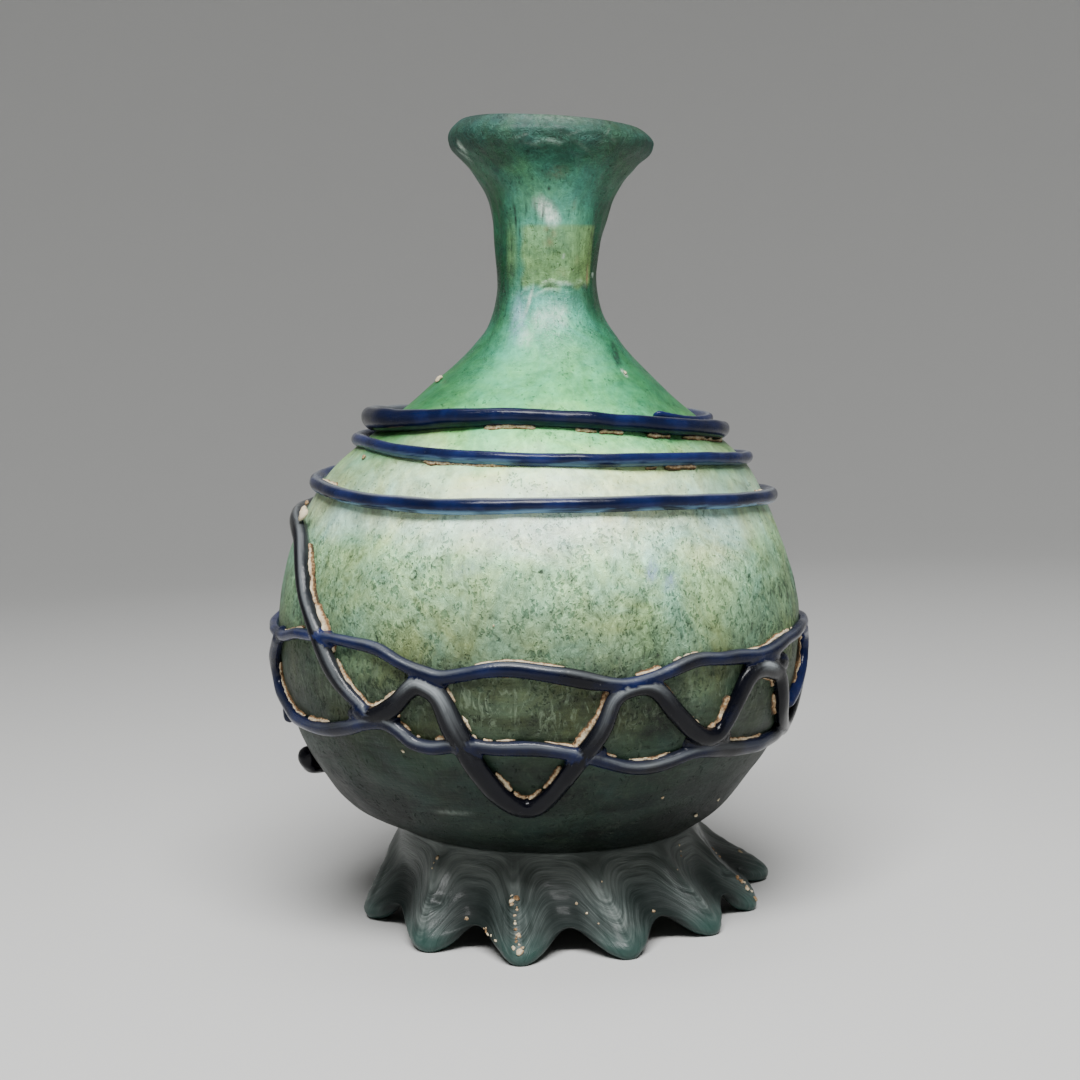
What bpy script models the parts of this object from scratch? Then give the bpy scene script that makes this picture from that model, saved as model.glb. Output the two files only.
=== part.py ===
"""Ancient blown-glass bottle with trailed blue threads and a toed foot.

Three pieces of glass. They are fused in the real bottle and stand a hairline
apart here:
  body         blown vessel, hollow: belly, conical shoulder, neck, funnel mouth
  foot         pad applied under the body and pulled out into twelve toes
  blue_trail   the thread coiled on the shoulder and trailed in zigzags round
               the belly, with two finer threads fused across it

Lengths below are millimetres and turn into metres where a vertex is made.
Azimuth is in degrees about the bottle's axis: 0 is the front (-Y), 90 is +X.
"""
import math

import bmesh
import bpy
import numpy as np
from mathutils import Matrix, Vector

MM = 0.001

# ---------------------------------------------------------------- dimensions
GAP = 0.3                    # hairline between touching pieces
WALL = 2.2                   # thickness of the blown wall
FLOOR = 3.0                  # thickness of the vessel's bottom at its middle

BELLY_RADIUS = 50.1
NECK_RADIUS = 9.7
RIM_RADIUS = 19.4
BASE_RADIUS = 28.8           # where the foot is applied
BASE_HEIGHT = 16.4
RIM_HEIGHT = 146.3           # widest circle of the rim
LIP_HEIGHT = 149.7           # crest of the rolled-in lip
MOUTH_RADIUS = 12.2

COLUMNS = 33                 # facets round the vessel

# The outside of the vessel, foot junction to rim, as (radius, height).
OUTLINE = (
    (BASE_RADIUS, BASE_HEIGHT),
    (35.8, 20.6),
    (41.1, 27.2),
    (46.2, 35.2),
    (49.2, 44.5),
    (BELLY_RADIUS, 54.0),
    (48.9, 64.5),
    (45.5, 74.5),
    (39.7, 84.7),
    (31.9, 92.0),
    (23.2, 99.6),
    (16.4, 105.8),
    (11.5, 112.0),
    (9.8, 117.5),
    (NECK_RADIUS, 123.0),
    (10.3, 130.0),
    (12.0, 136.2),
    (15.3, 141.2),
    (18.6, 144.5),
    (RIM_RADIUS, RIM_HEIGHT),
)
RINGS_ON_BELLY = 2           # rings for each stretch of the outline below the neck
BELLY_STRETCHES = 10         # how many stretches lie below the neck

# The underside: a shallow cone into a slightly raised middle.
KICK_RADIUS = 17.0
KICK_HEIGHT = 12.4
KICK_TOP = 13.6
KICK_BEND_RADIUS = 9.35      # where the raised middle flattens out

# The floor inside: level in the middle, rising into the side.
FLOOR_RADIUS = 15.8
FLOOR_EDGE_RADIUS = 24.8
FLOOR_EDGE_HEIGHT = 17.6

# The folded lip, from the widest circle over the crest and into the mouth.
LIP = (
    (19.1, 147.6),
    (17.9, 148.9),
    (16.5, LIP_HEIGHT),
    (14.4, LIP_HEIGHT),
    (12.8, 149.0),
    (MOUTH_RADIUS, 147.8),
    (12.9, 146.2),
)

# The bottle is hand-made: its axis wanders, its rim tips and it leans.
AXIS_DRIFT = (
    (0.0, 1.9), (14.0, 1.9), (21.0, -0.4), (28.0, -0.8), (36.0, -0.4), (46.0, 0.0), (76.0, 0.0),
    (106.0, 1.9), (114.0, 1.7), (121.0, 1.45), (128.0, 1.55), (135.0, 1.9), (150.0, 2.1),
)
RIM_TIP = 1.6                # degrees, rim low on the right
RIM_TIP_FROM = 128.0         # height where the tip sets in
LIP_TIP = 1.5                # degrees more at the crest of the lip
LEAN = 2.5                   # degrees towards +X
LEAN_PIVOT = (0.7, 0.0, 70.6)

# ------------------------------------------------------------------ the foot
# Each toe as (azimuth, radius of its tip).
TOES = (
    (-85.0, 38.6), (-43.0, 38.9), (-13.0, 40.5), (15.0, 39.7), (46.0, 36.8), (74.0, 36.6),
    (107.0, 41.6), (139.0, 38.2), (171.0, 39.4), (202.0, 38.0), (230.0, 37.4), (253.0, 38.4),
)
FOOT_TOP_CENTRE = (0.3, -1.0)      # middle of the skirt just below the junction
FOOT_RING_CENTRE = (3.3, -4.2)     # middle of the ring of toes
# Section of the skirt as (radius on a toe, height on a toe, radius on an arch,
# height on an arch, share of the vessel's lean), from the outside round to the
# inside. A toe's radii are for a tip of radius TIP_RADIUS.
TIP_RADIUS = 38.5
SKIRT = (
    (29.9, 13.2, 29.6, 13.4, 0.80),
    (31.9, 9.4, 30.8, 11.0, 0.45),
    (34.6, 6.3, 32.4, 8.6, 0.20),
    (37.0, 3.9, 34.0, 6.6, 0.05),
    (38.5, 1.7, 34.9, 5.2, 0.0),
    (38.0, 0.0, 34.2, 4.5, 0.0),
    (35.0, 0.0, 32.6, 4.9, 0.0),
    (32.6, 2.3, 30.4, 6.4, 0.0),
    (28.0, 7.2, 27.0, 8.9, 0.25),
    (23.4, 10.6, 23.0, 10.8, 0.70),
)
SKIRT_INNER_RADIUS = 19.0
SKIRT_OUTER_RADIUS = 28.5
# Columns of the skirt from one toe to the next, as (share of the way, how much
# of a toe the column is, how far its tip draws back to round the toe in plan).
TOE_COLUMNS = (
    (0.0, 1.0, 0.0), (0.1, 1.0, 0.7), (0.25, 0.38, 0.5),
    (0.5, 0.0, 0.0), (0.75, 0.38, 0.5), (0.9, 1.0, 0.7),
)

# --------------------------------------------------------------- the threads
# Length between the sections that skin each thread.
COIL_STEP = 7.0
ZIGZAG_STEP = 5.0
UPPER_STEP = 6.4
LOWER_STEP = 5.8
LOWER_BACK_STEP = 6.6
# Each thread lies a trace higher on the wall than the ones it crosses.
ZIGZAG_LIFT = GAP + 0.04
UPPER_LIFT = GAP + 0.08
LOWER_LIFT = GAP + 0.12
STRAND_LIFT = GAP + 0.16

# Cross-sections of a thread, as shares of its width and height.
STOUT_SECTION = ((-0.34, 0.0), (0.34, 0.0), (0.5, 0.42), (0.24, 0.94), (-0.24, 0.94), (-0.5, 0.42))
FINE_SECTION = ((-0.38, 0.0), (0.38, 0.0), (0.5, 0.5), (0.0, 1.0), (-0.5, 0.5))

# The coil, wound three and a half times down the shoulder, then the first arm
# of the zigzag. Azimuth runs on past 360 with each turn: (azimuth, height).
COIL = (
    (44, 95.5), (51, 94.6), (61, 93.8), (76, 93.3), (120, 93.4), (180, 93.2), (240, 92.6),
    (280, 92.5), (304, 93.0), (328, 93.9), (351, 94.4), (378, 93.7), (410, 92.4), (450, 90.9),
    (540, 90.3), (630, 89.5), (656, 89.3), (691, 88.0), (722, 87.5), (768, 87.1), (800, 86.2),
    (900, 84.4), (994, 81.8), (1025, 80.6), (1056, 79.8), (1084, 80.3), (1115, 80.2),
    (1166, 79.3), (1260, 78.0), (1345, 75.9), (1366, 74.2), (1376, 70.6), (1384, 62.4),
    (1390, 56.2), (1396, 49.2), (1403, 44.3),
)
# How thick the coil is on its way, as (azimuth, width, height).
COIL_SIZE = (
    (44, 0.9, 0.8), (60, 1.2, 1.1), (90, 1.9, 1.9), (180, 3.0, 3.0), (265, 3.9, 4.1),
    (300, 3.6, 3.6), (324, 3.0, 3.0), (342, 2.6, 2.6), (410, 2.6, 2.5), (430, 2.9, 2.8),
    (540, 2.4, 2.1), (620, 2.0, 1.8), (880, 2.0, 1.8), (1000, 2.4, 2.1), (1300, 2.6, 2.0),
    (1370, 3.2, 2.1), (1384, 2.6, 2.0), (1394, 2.9, 2.0), (1403, 1.8, 1.1),
)

# The zigzag: a deep V, a shelf, a shallow V and a shelf, over and over. Each deep V
# is (azimuth, height of its bottom); a tail curls out of the last one to a blob.
DEEP_V = ((-1.5, 28.6), (76.5, 36.6), (148.0, 29.0), (217.0, 28.0), (262.0, 26.0))
V_SPACING = 78.0             # spacing that WAVE is drawn for
V_DEPTH = 28.6               # bottom of the V that WAVE is drawn for
SHELF_HEIGHT = 50.0
WAVE = (
    (-21.5, SHELF_HEIGHT), (-18.3, 48.2), (-15.0, 42.4), (-11.0, 35.8), (-6.0, 31.0), (0.0, V_DEPTH),
    (5.0, 31.4), (10.0, 38.0), (14.0, 43.8), (16.4, 48.4), (20.5, SHELF_HEIGHT), (24.5, 49.3),
    (29.5, 45.2), (34.5, 41.5), (38.5, 40.0), (42.0, 40.8), (45.0, 45.8), (48.2, 50.2), (52.0, 51.1),
)
WAVE_ARMS = 17.0             # how far from its middle the deep V reaches
ZIGZAG_START = (
    (-40.5, 45.4), (-37.0, 44.0), (-33.5, 44.5), (-29.6, 46.4), (-26.8, 48.7), (-24.6, 50.1),
)
ZIGZAG_END = ((266.5, 26.5), (271.0, 28.1), (274.5, 29.8), (276.5, 31.0))
# Stoutest where the trailed arms of a V were pulled out and at the blob it ends in.
ZIGZAG_SIZE = (
    (-40, 2.8, 1.8), (-31, 3.2, 1.9), (-24, 3.8, 2.0), (-10, 4.0, 2.1), (-1, 3.1, 1.9),
    (8, 3.6, 2.0), (15, 2.8, 1.8), (36, 2.8, 1.8), (50, 3.6, 2.0), (60, 2.9, 1.8),
    (140, 3.4, 1.9), (255, 3.0, 1.6), (267, 3.0, 1.8), (272, 4.4, 3.2), (276.5, 3.6, 2.6),
)

# The upper thread, a closed wavy ring that dips onto each shelf.
UPPER_FRONT = (
    (-71, 54.8), (-58, 56.2), (-47, 56.7), (-38, 56.5), (-33, 55.7), (-28, 53.9), (-23.5, 52.6),
    (-19.5, 51.9), (-15, 52.6), (-10, 53.4), (-4, 53.5), (4, 52.6), (11, 51.3), (16, 50.9),
    (21, 51.5), (26, 52.3), (33, 53.9), (40, 53.7), (50, 53.3), (57, 53.7), (65, 54.9), (76, 55.6),
)
UPPER_SIZE = (
    (-72, 1.7, 1.2), (-47, 1.8, 1.3), (-33, 2.2, 1.4), (-10, 2.2, 1.4), (3, 2.8, 1.6),
    (9, 2.8, 1.5), (16, 2.2, 1.4), (45, 2.3, 1.4), (76, 2.0, 1.3), (289, 1.7, 1.2),
)
UPPER_DIP = 52.0
UPPER_RISE = 55.2
# Behind, the wave from one deep V to the next as (azimuth from the V, height).
UPPER_WAVE = ((-40, UPPER_RISE), (-21, UPPER_DIP), (0, UPPER_RISE), (18, UPPER_DIP))
UPPER_LAST = (257, UPPER_RISE)

# The lower thread: a loop at the left, the floors of the front cells, a strand
# at the right, and one thread swaying on round the back.
LOWER_FRONT = (
    (-71, 54.6), (-76, 51.6), (-81, 47.6), (-80.5, 43.8), (-75, 41.4), (-68, 39.8), (-59, 39.3),
    (-50, 39.9), (-43, 41.2), (-38, 42.5), (-33, 42.8), (-29.5, 41.5), (-26.5, 39.8), (-22, 39.4),
    (-15.5, 40.3), (-8, 39.6), (1, 39.5), (8, 38.7), (14, 37.1), (19, 35.9), (24, 35.5),
    (29, 36.2), (35, 37.5), (42, 37.3), (53, 36.3), (63, 36.1), (75, 36.8),
)
RIGHT_STRAND = ((76, 55.5), (82, 52.6), (82, 48.6), (77, 44.6), (69, 41.6))
LOWER_SIZE = (
    (-81, 2.2, 1.5), (-60, 2.2, 1.5), (-38, 2.6, 1.6), (-26, 2.2, 1.4), (2, 2.4, 1.4),
    (22, 2.2, 1.4), (40, 2.9, 1.6), (62, 2.9, 1.6), (76, 2.2, 1.4),
)
FINE_SIZE = (1.9, 1.4)
LOWER_HEIGHT = 39.2
LOWER_SWAY = 2.2
LOWER_BACK_SPAN = (82.0, 278.0)
LOWER_SWAYS = 5
LOWER_BACK_KNOTS = 14

COLOURS = {
    "body": (0.22, 0.42, 0.32),
    "foot": (0.035, 0.09, 0.075),
    "blue_trail": (0.012, 0.02, 0.09),
}
ROUGHNESS = {"body": 0.32, "foot": 0.16, "blue_trail": 0.14}
CREASE_ANGLE = 50.0          # edges sharper than this stay crisp in the shading

OUTLINE_SAMPLES = 12         # points to a stretch of the outline and of the axis's drift
THREAD_SAMPLES = 10          # points to a stretch of a thread's path
NORMAL_STEP = 0.5            # height and azimuth step that a wall normal is taken over


# -------------------------------------------------------------------- curves
def catmull_rom(knots, per_stretch, period=None):
    """Points on the smooth curve through the knots, per_stretch to a stretch.

    With a period the curve closes: after the last knot comes the first one,
    moved on by the period.
    """
    pts = [np.array(knot, float) for knot in knots]
    if period is None:
        pts = [2 * pts[0] - pts[1]] + pts + [2 * pts[-1] - pts[-2]]
    else:
        pts = [pts[-1] - period] + pts + [pts[0] + period, pts[1] + period]
    curve = []
    for p0, p1, p2, p3 in zip(pts, pts[1:], pts[2:], pts[3:]):
        for step in range(per_stretch):
            t = step / per_stretch
            curve.append(0.5 * (
                2 * p1 + (p2 - p0) * t
                + (2 * p0 - 5 * p1 + 4 * p2 - p3) * t ** 2
                + (3 * p1 - p0 - 3 * p2 + p3) * t ** 3))
    return np.array(curve + [pts[-2]])


def table(rows, key):
    """Straight interpolation in rows of (key, value, ...)."""
    rows = np.array(rows, float)
    return [float(np.interp(key, rows[:, 0], rows[:, k])) for k in range(1, rows.shape[1])]


FINE_OUTLINE = catmull_rom(OUTLINE, OUTLINE_SAMPLES)
FINE_DRIFT = catmull_rom(AXIS_DRIFT, OUTLINE_SAMPLES)


def wall_radius(height):
    return float(np.interp(height, FINE_OUTLINE[:, 1], FINE_OUTLINE[:, 0]))


# ----------------------------------------------------- the bottle's crookedness
def lean(point):
    """Carry a point from the vessel's own frame into the world."""
    pivot = Vector(LEAN_PIVOT)
    turn = Matrix.Rotation(math.radians(LEAN), 4, "Y")
    return turn @ (Vector(point) - Vector((0, 0, pivot.z))) + pivot


def vessel_point(azimuth, radius, height):
    """A point of the vessel, with the axis's drift, the rim's tip and the lean."""
    angle = math.radians(azimuth)
    x = radius * math.sin(angle)
    y = -radius * math.cos(angle)
    rise = max(0.0, height - RIM_TIP_FROM) / (RIM_HEIGHT - RIM_TIP_FROM)
    crest = max(0.0, height - RIM_HEIGHT) / (LIP_HEIGHT - RIM_HEIGHT)
    tip = math.tan(math.radians(RIM_TIP)) * min(1.0, rise) ** 2
    tip += math.tan(math.radians(LIP_TIP)) * min(1.0, crest)
    drift = float(np.interp(height, FINE_DRIFT[:, 0], FINE_DRIFT[:, 1]))
    return lean((x + drift, y, height - tip * x))


def wall_point(azimuth, height):
    """A point on the outside of the wall and the wall's normal there."""
    above = height + NORMAL_STEP
    here = vessel_point(azimuth, wall_radius(height), height)
    up = vessel_point(azimuth, wall_radius(above), above) - here
    across = vessel_point(azimuth + NORMAL_STEP, wall_radius(height), height) - here
    return here, across.cross(up).normalized()


# ------------------------------------------------------------------- meshes
def add_object(name, bm, colour=None, roughness=0.3):
    """Turn a bmesh in millimetres into a smooth-shaded object in metres."""
    bmesh.ops.recalc_face_normals(bm, faces=bm.faces)
    bmesh.ops.scale(bm, vec=(MM, MM, MM), verts=bm.verts)
    mesh = bpy.data.meshes.new(name)
    bm.to_mesh(mesh)
    bm.free()
    mesh.shade_smooth()
    mesh.set_sharp_from_angle(angle=math.radians(CREASE_ANGLE))
    obj = bpy.data.objects.new(name, mesh)
    bpy.context.scene.collection.objects.link(obj)
    if colour is not None:
        mesh.materials.append(glass(name, colour, roughness))
    return obj


def glass(name, colour, roughness):
    material = bpy.data.materials.new(name + "_glass")
    material.use_nodes = True
    shader = material.node_tree.nodes["Principled BSDF"]
    shader.inputs["Base Color"].default_value = (*colour, 1.0)
    shader.inputs["Roughness"].default_value = roughness
    shader.inputs["Metallic"].default_value = 0.0
    return material


def loft(rings, closed):
    """Skin over equal rings of points, joined end to end or capped."""
    bm = bmesh.new()
    rows = [[bm.verts.new(point) for point in ring] for ring in rings]
    size = len(rows[0])
    pairs = len(rows) if closed else len(rows) - 1
    for i in range(pairs):
        low, high = rows[i], rows[(i + 1) % len(rows)]
        for k in range(size):
            n = (k + 1) % size
            bm.faces.new((low[k], low[n], high[n], high[k]))
    if not closed:
        bm.faces.new(rows[0])
        bm.faces.new(rows[-1])
    return bm


# --------------------------------------------------------------------- body
def vessel_profile():
    """The vessel's section from the underside's middle round to its floor."""
    underside = [(0.0, KICK_TOP), (KICK_BEND_RADIUS, (KICK_TOP + KICK_HEIGHT) / 2),
                 (KICK_RADIUS, KICK_HEIGHT)]
    belly = catmull_rom(OUTLINE, RINGS_ON_BELLY)[:RINGS_ON_BELLY * BELLY_STRETCHES]
    outside = [tuple(p) for p in belly] + list(OUTLINE[BELLY_STRETCHES:])
    # The inside follows the outside at the wall's thickness, with fewer rings.
    path = catmull_rom(OUTLINE, 1)
    inside = []
    for i in range(len(path) - 2, 0, -1):
        along = path[i + 1] - path[i - 1]
        inward = np.array((-along[1], along[0])) / np.hypot(*along)
        inside.append(tuple(path[i] + WALL * inward))
    floor = [(FLOOR_EDGE_RADIUS, FLOOR_EDGE_HEIGHT), (FLOOR_RADIUS, KICK_TOP + FLOOR),
             (0.0, KICK_TOP + FLOOR)]
    return underside + outside + list(LIP) + inside[1:] + floor


def make_body():
    bm = bmesh.new()
    profile = [bm.verts.new((0.0, -r, z)) for r, z in vessel_profile()]
    edges = [bm.edges.new(pair) for pair in zip(profile, profile[1:])]
    bmesh.ops.spin(bm, geom=profile + edges, cent=(0, 0, 0), axis=(0, 0, 1),
                   angle=math.tau, steps=COLUMNS, use_merge=True)
    bmesh.ops.remove_doubles(bm, verts=bm.verts, dist=0.001)
    for vert in bm.verts:
        radius = math.hypot(vert.co.x, vert.co.y)
        azimuth = math.degrees(math.atan2(vert.co.x, -vert.co.y))
        vert.co = vessel_point(azimuth, radius, vert.co.z)
    return add_object("body", bm, COLOURS["body"], ROUGHNESS["body"])


# --------------------------------------------------------------------- foot
def underside_height(radius):
    share = (radius - KICK_RADIUS) / (BASE_RADIUS - KICK_RADIUS)
    return KICK_HEIGHT + share * (BASE_HEIGHT - KICK_HEIGHT)


def foot_column(azimuth, toe, tip_radius):
    """One section of the skirt; toe is 1 on a toe and 0 on an arch."""
    angle = math.radians(azimuth)
    ring = [vessel_point(azimuth, SKIRT_OUTER_RADIUS, underside_height(SKIRT_OUTER_RADIUS) - GAP)]
    for toe_r, toe_z, arch_r, arch_z, share in SKIRT:
        reach = (toe_r - SKIRT_OUTER_RADIUS) / (TIP_RADIUS - SKIRT_OUTER_RADIUS)
        toe_r += max(0.0, reach) * (tip_radius - TIP_RADIUS)
        radius = arch_r + toe * (toe_r - arch_r)
        height = arch_z + toe * (toe_z - arch_z)
        drop = 1.0 - height / BASE_HEIGHT
        centre = [a + drop * (b - a) for a, b in zip(FOOT_TOP_CENTRE, FOOT_RING_CENTRE)]
        level = Vector((centre[0] + radius * math.sin(angle),
                        centre[1] - radius * math.cos(angle), height))
        ring.append(level.lerp(vessel_point(azimuth, radius, height), share))
    ring.append(vessel_point(azimuth, SKIRT_INNER_RADIUS,
                             underside_height(SKIRT_INNER_RADIUS) - GAP))
    return ring


def make_foot():
    rings = []
    for i, (azimuth, tip) in enumerate(TOES):
        next_azimuth, next_tip = TOES[(i + 1) % len(TOES)]
        span = (next_azimuth - azimuth) % 360.0
        for share, toe, pull_back in TOE_COLUMNS:
            reach = tip + share * (next_tip - tip) - pull_back
            rings.append(foot_column(azimuth + share * span, toe, reach))
    return add_object("foot", loft(rings, True), COLOURS["foot"], ROUGHNESS["foot"])


# ------------------------------------------------------------------ threads
def thread(waypoints, size, lift, step, section, closed):
    """Skin of a thread laid on the wall; size is (width, height) or rows by azimuth."""
    fine = catmull_rom(waypoints, THREAD_SAMPLES, np.array((360.0, 0.0)) if closed else None)
    places = [wall_point(*p)[0] for p in fine]
    steps = [(b - a).length for a, b in zip(places, places[1:])]
    lengths = np.concatenate(([0.0], np.cumsum(steps)))
    marks = np.linspace(0.0, lengths[-1], round(lengths[-1] / step) + 1)
    if closed:
        marks = marks[:-1]
    path = [(np.interp(m, lengths, fine[:, 0]), np.interp(m, lengths, fine[:, 1])) for m in marks]
    spots = [wall_point(*p) for p in path]
    rings = []
    for i, (azimuth, _) in enumerate(path):
        width, height = table(size, azimuth) if isinstance(size[0], tuple) else size
        before = spots[i - 1][0] if closed or i else spots[0][0]
        after = spots[(i + 1) % len(spots)][0] if closed or i + 1 < len(spots) else spots[i][0]
        spot, normal = spots[i]
        side = (after - before).cross(normal).normalized()
        rings.append([spot + side * (x * width) + normal * (lift + y * height)
                      for x, y in section])
    return loft(rings, closed)


def zigzag_waypoints():
    """Every V and shelf in turn, and the tail that curls out of the last V."""
    points = list(ZIGZAG_START)
    last = len(DEEP_V) - 1
    for i, (middle, bottom) in enumerate(DEEP_V):
        right = DEEP_V[i + 1][0] - middle if i < last else 0.0
        left = middle - DEEP_V[i - 1][0] if i else V_SPACING
        depth = (SHELF_HEIGHT - bottom) / (SHELF_HEIGHT - V_DEPTH)
        for offset, height in WAVE:
            if i == last and offset > 0:
                break
            if abs(offset) < WAVE_ARMS or offset < 0:
                height = SHELF_HEIGHT - depth * (SHELF_HEIGHT - height)
            points.append((middle + offset * (left if offset < 0 else right) / V_SPACING, height))
    return points + list(ZIGZAG_END)


def upper_waypoints():
    """The front's own wave, then a dip on either side of each deep V behind."""
    points = list(UPPER_FRONT)
    for middle, _ in DEEP_V[2:4]:
        points += [(middle + offset, height) for offset, height in UPPER_WAVE]
    return points + [UPPER_LAST]


def lower_back_waypoints():
    start, end = LOWER_BACK_SPAN
    points = []
    for k in range(LOWER_BACK_KNOTS + 1):
        share = k / LOWER_BACK_KNOTS
        height = LOWER_HEIGHT - LOWER_SWAY * math.cos(math.tau * LOWER_SWAYS * share)
        points.append((start + share * (end - start), height))
    return points


def make_trail():
    """The coil, the zigzag and the finer threads, fused into one piece."""
    coil = thread(COIL, COIL_SIZE, GAP, COIL_STEP, STOUT_SECTION, False)
    trail = add_object("blue_trail", coil, COLOURS["blue_trail"], ROUGHNESS["blue_trail"])
    others = (
        ("zigzag", zigzag_waypoints(), ZIGZAG_SIZE, ZIGZAG_LIFT, ZIGZAG_STEP, STOUT_SECTION, False),
        ("upper", upper_waypoints(), UPPER_SIZE, UPPER_LIFT, UPPER_STEP, FINE_SECTION, True),
        ("lower_front", LOWER_FRONT, LOWER_SIZE, LOWER_LIFT, LOWER_STEP, FINE_SECTION, False),
        ("right_strand", RIGHT_STRAND, FINE_SIZE, STRAND_LIFT, ZIGZAG_STEP, FINE_SECTION, False),
        ("lower_back", lower_back_waypoints(), FINE_SIZE, LOWER_LIFT, LOWER_BACK_STEP,
         FINE_SECTION, False),
    )
    for name, waypoints, size, lift, step, section, closed in others:
        skin = thread(waypoints, size, lift, step, section, closed)
        piece = add_object(name, skin)
        piece.hide_render = True
        piece.display_type = "WIRE"
        fuse = trail.modifiers.new(name, "BOOLEAN")
        fuse.operation = "UNION"
        fuse.solver = "EXACT"
        fuse.object = piece
    return trail


def main():
    for old in list(bpy.data.objects):
        bpy.data.objects.remove(old, do_unlink=True)
    make_body()
    make_foot()
    make_trail()


main()
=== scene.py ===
"""Looks of the ancient glass bottle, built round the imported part.

Lengths are millimetres until a mesh is made, as in the part's own source, and
azimuth is in degrees about the bottle's axis: 0 is the front (-Y), 90 is +X.
"""
import math

import bpy
import numpy as np
from mathutils import Matrix, Vector, kdtree


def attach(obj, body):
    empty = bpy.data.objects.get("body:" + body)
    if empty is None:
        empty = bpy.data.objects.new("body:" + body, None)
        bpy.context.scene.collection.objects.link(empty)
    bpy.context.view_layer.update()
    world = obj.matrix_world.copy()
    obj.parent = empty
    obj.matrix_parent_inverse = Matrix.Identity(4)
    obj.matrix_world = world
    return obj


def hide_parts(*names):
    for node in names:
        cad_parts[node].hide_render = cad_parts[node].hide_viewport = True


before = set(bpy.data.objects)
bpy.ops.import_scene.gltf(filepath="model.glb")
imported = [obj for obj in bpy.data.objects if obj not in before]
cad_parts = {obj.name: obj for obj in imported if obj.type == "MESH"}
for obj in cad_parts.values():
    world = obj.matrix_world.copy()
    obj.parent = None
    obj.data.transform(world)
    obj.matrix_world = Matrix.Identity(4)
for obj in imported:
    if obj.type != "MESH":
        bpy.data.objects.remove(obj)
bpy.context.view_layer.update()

MM = 0.001

# ------------------------------------------------- the part's own dimensions
WALL = 2.2
BASE_RADIUS = 28.8
BASE_HEIGHT = 16.4
RIM_HEIGHT = 146.3
OUTLINE = (
    (BASE_RADIUS, BASE_HEIGHT), (35.8, 20.6), (41.1, 27.2), (46.2, 35.2), (49.2, 44.5),
    (50.1, 54), (48.9, 64.5), (45.5, 74.5), (39.7, 84.7), (31.9, 92), (23.2, 99.6),
    (16.4, 105.8), (11.5, 112), (9.8, 117.5), (9.7, 123), (10.3, 130), (12, 136.2),
    (15.3, 141.2), (18.6, 144.5), (19.4, RIM_HEIGHT),
)
LIP = (
    (19.1, 147.6), (17.9, 148.9), (16.5, 149.7), (14.4, 149.7), (12.8, 149), (12.2, 147.8),
    (12.9, 146.2),
)
UNDERSIDE = ((0, 13.6), (9.35, 13), (17, 12.4), (22.9, 14.4), (27.6, 16))
FLOOR = ((24.8, 17.6), (15.8, 16.6), (0, 16.6))
AXIS_DRIFT = (
    (0, 1.9), (14, 1.9), (21, -0.4), (28, -0.8), (36, -0.4), (46, 0), (76, 0),
    (106, 1.9), (114, 1.7), (121, 1.45), (128, 1.55), (135, 1.9), (150, 2.1),
)
RIM_TIP = 1.6
LIP_TIP = 1.5                # degrees more at the crest of the lip
LIP_HEIGHT = 149.7
RIM_TIP_FROM = 128
LEAN = 2.5
LEAN_PIVOT = (0.7, 0, 70.6)

TOES = (
    (-85, 38.6), (-43, 38.9), (-13, 40.5), (15, 39.7), (46, 36.8), (74, 36.6),
    (107, 41.6), (139, 38.2), (171, 39.4), (202, 38), (230, 37.4), (253, 38.4),
)
FOOT_TOP_CENTRE = (0.3, -1)
FOOT_RING_CENTRE = (3.3, -4.2)
TIP_RADIUS = 38.5
SKIRT_ROOT = 28.5
# Stations of the skirt: radius and height on a toe, radius and height on an
# arch, share of the vessel's lean.
SKIRT = (
    (28.4, 16.4, 28.4, 16.4, 1), (29.9, 13.2, 29.6, 13.4, 0.8), (31.9, 9.4, 30.8, 11, 0.45),
    (34.6, 6.3, 32.4, 8.6, 0.2), (37, 3.9, 34, 6.6, 0.05), (38.6, 1.9, 34.9, 5.3, 0),
    (38.1, 0.2, 34.3, 4.5, 0), (35, 0, 32.6, 4.9, 0), (32.6, 2.3, 30.4, 6.4, 0),
    (28, 7.2, 27, 8.9, 0.25), (23.4, 10.6, 23, 10.8, 0.7), (19, 13.2, 19, 13.2, 1),
)

COIL = (
    (44, 95.5), (51, 94.6), (61, 93.8), (76, 93.3), (120, 93.4), (180, 93.2), (240, 92.6),
    (280, 92.5), (304, 93), (328, 93.9), (351, 94.4), (378, 93.7), (410, 92.4), (450, 90.9),
    (540, 90.3), (630, 89.5), (656, 89.3), (691, 88), (722, 87.5), (768, 87.1), (800, 86.2),
    (900, 84.4), (994, 81.8), (1025, 80.6), (1056, 79.8), (1084, 80.3), (1115, 80.2),
    (1166, 79.3), (1260, 78), (1345, 75.9), (1366, 74.2), (1376, 70.6), (1384, 62.4),
    (1390, 56.2), (1396, 49.2), (1403, 44.3),
)
COIL_SIZE = (
    (44, 0.9, 0.8), (60, 1.2, 1.1), (90, 1.9, 1.9), (180, 3, 3), (265, 3.9, 4.1),
    (300, 3.6, 3.6), (324, 3, 3), (342, 2.6, 2.6), (410, 2.6, 2.5), (430, 2.9, 2.8),
    (540, 2.4, 2.1), (620, 2, 1.8), (880, 2, 1.8), (1000, 2.4, 2.1), (1300, 2.6, 2),
    (1370, 3.2, 2.1), (1384, 2.6, 2), (1394, 2.9, 2), (1403, 1.8, 1.1),
)
DEEP_V = ((-1.5, 28.6), (76.5, 36.6), (148, 29), (217, 28), (262, 26))
V_SPACING = 78
V_DEPTH = 28.6
SHELF_HEIGHT = 50
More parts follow.
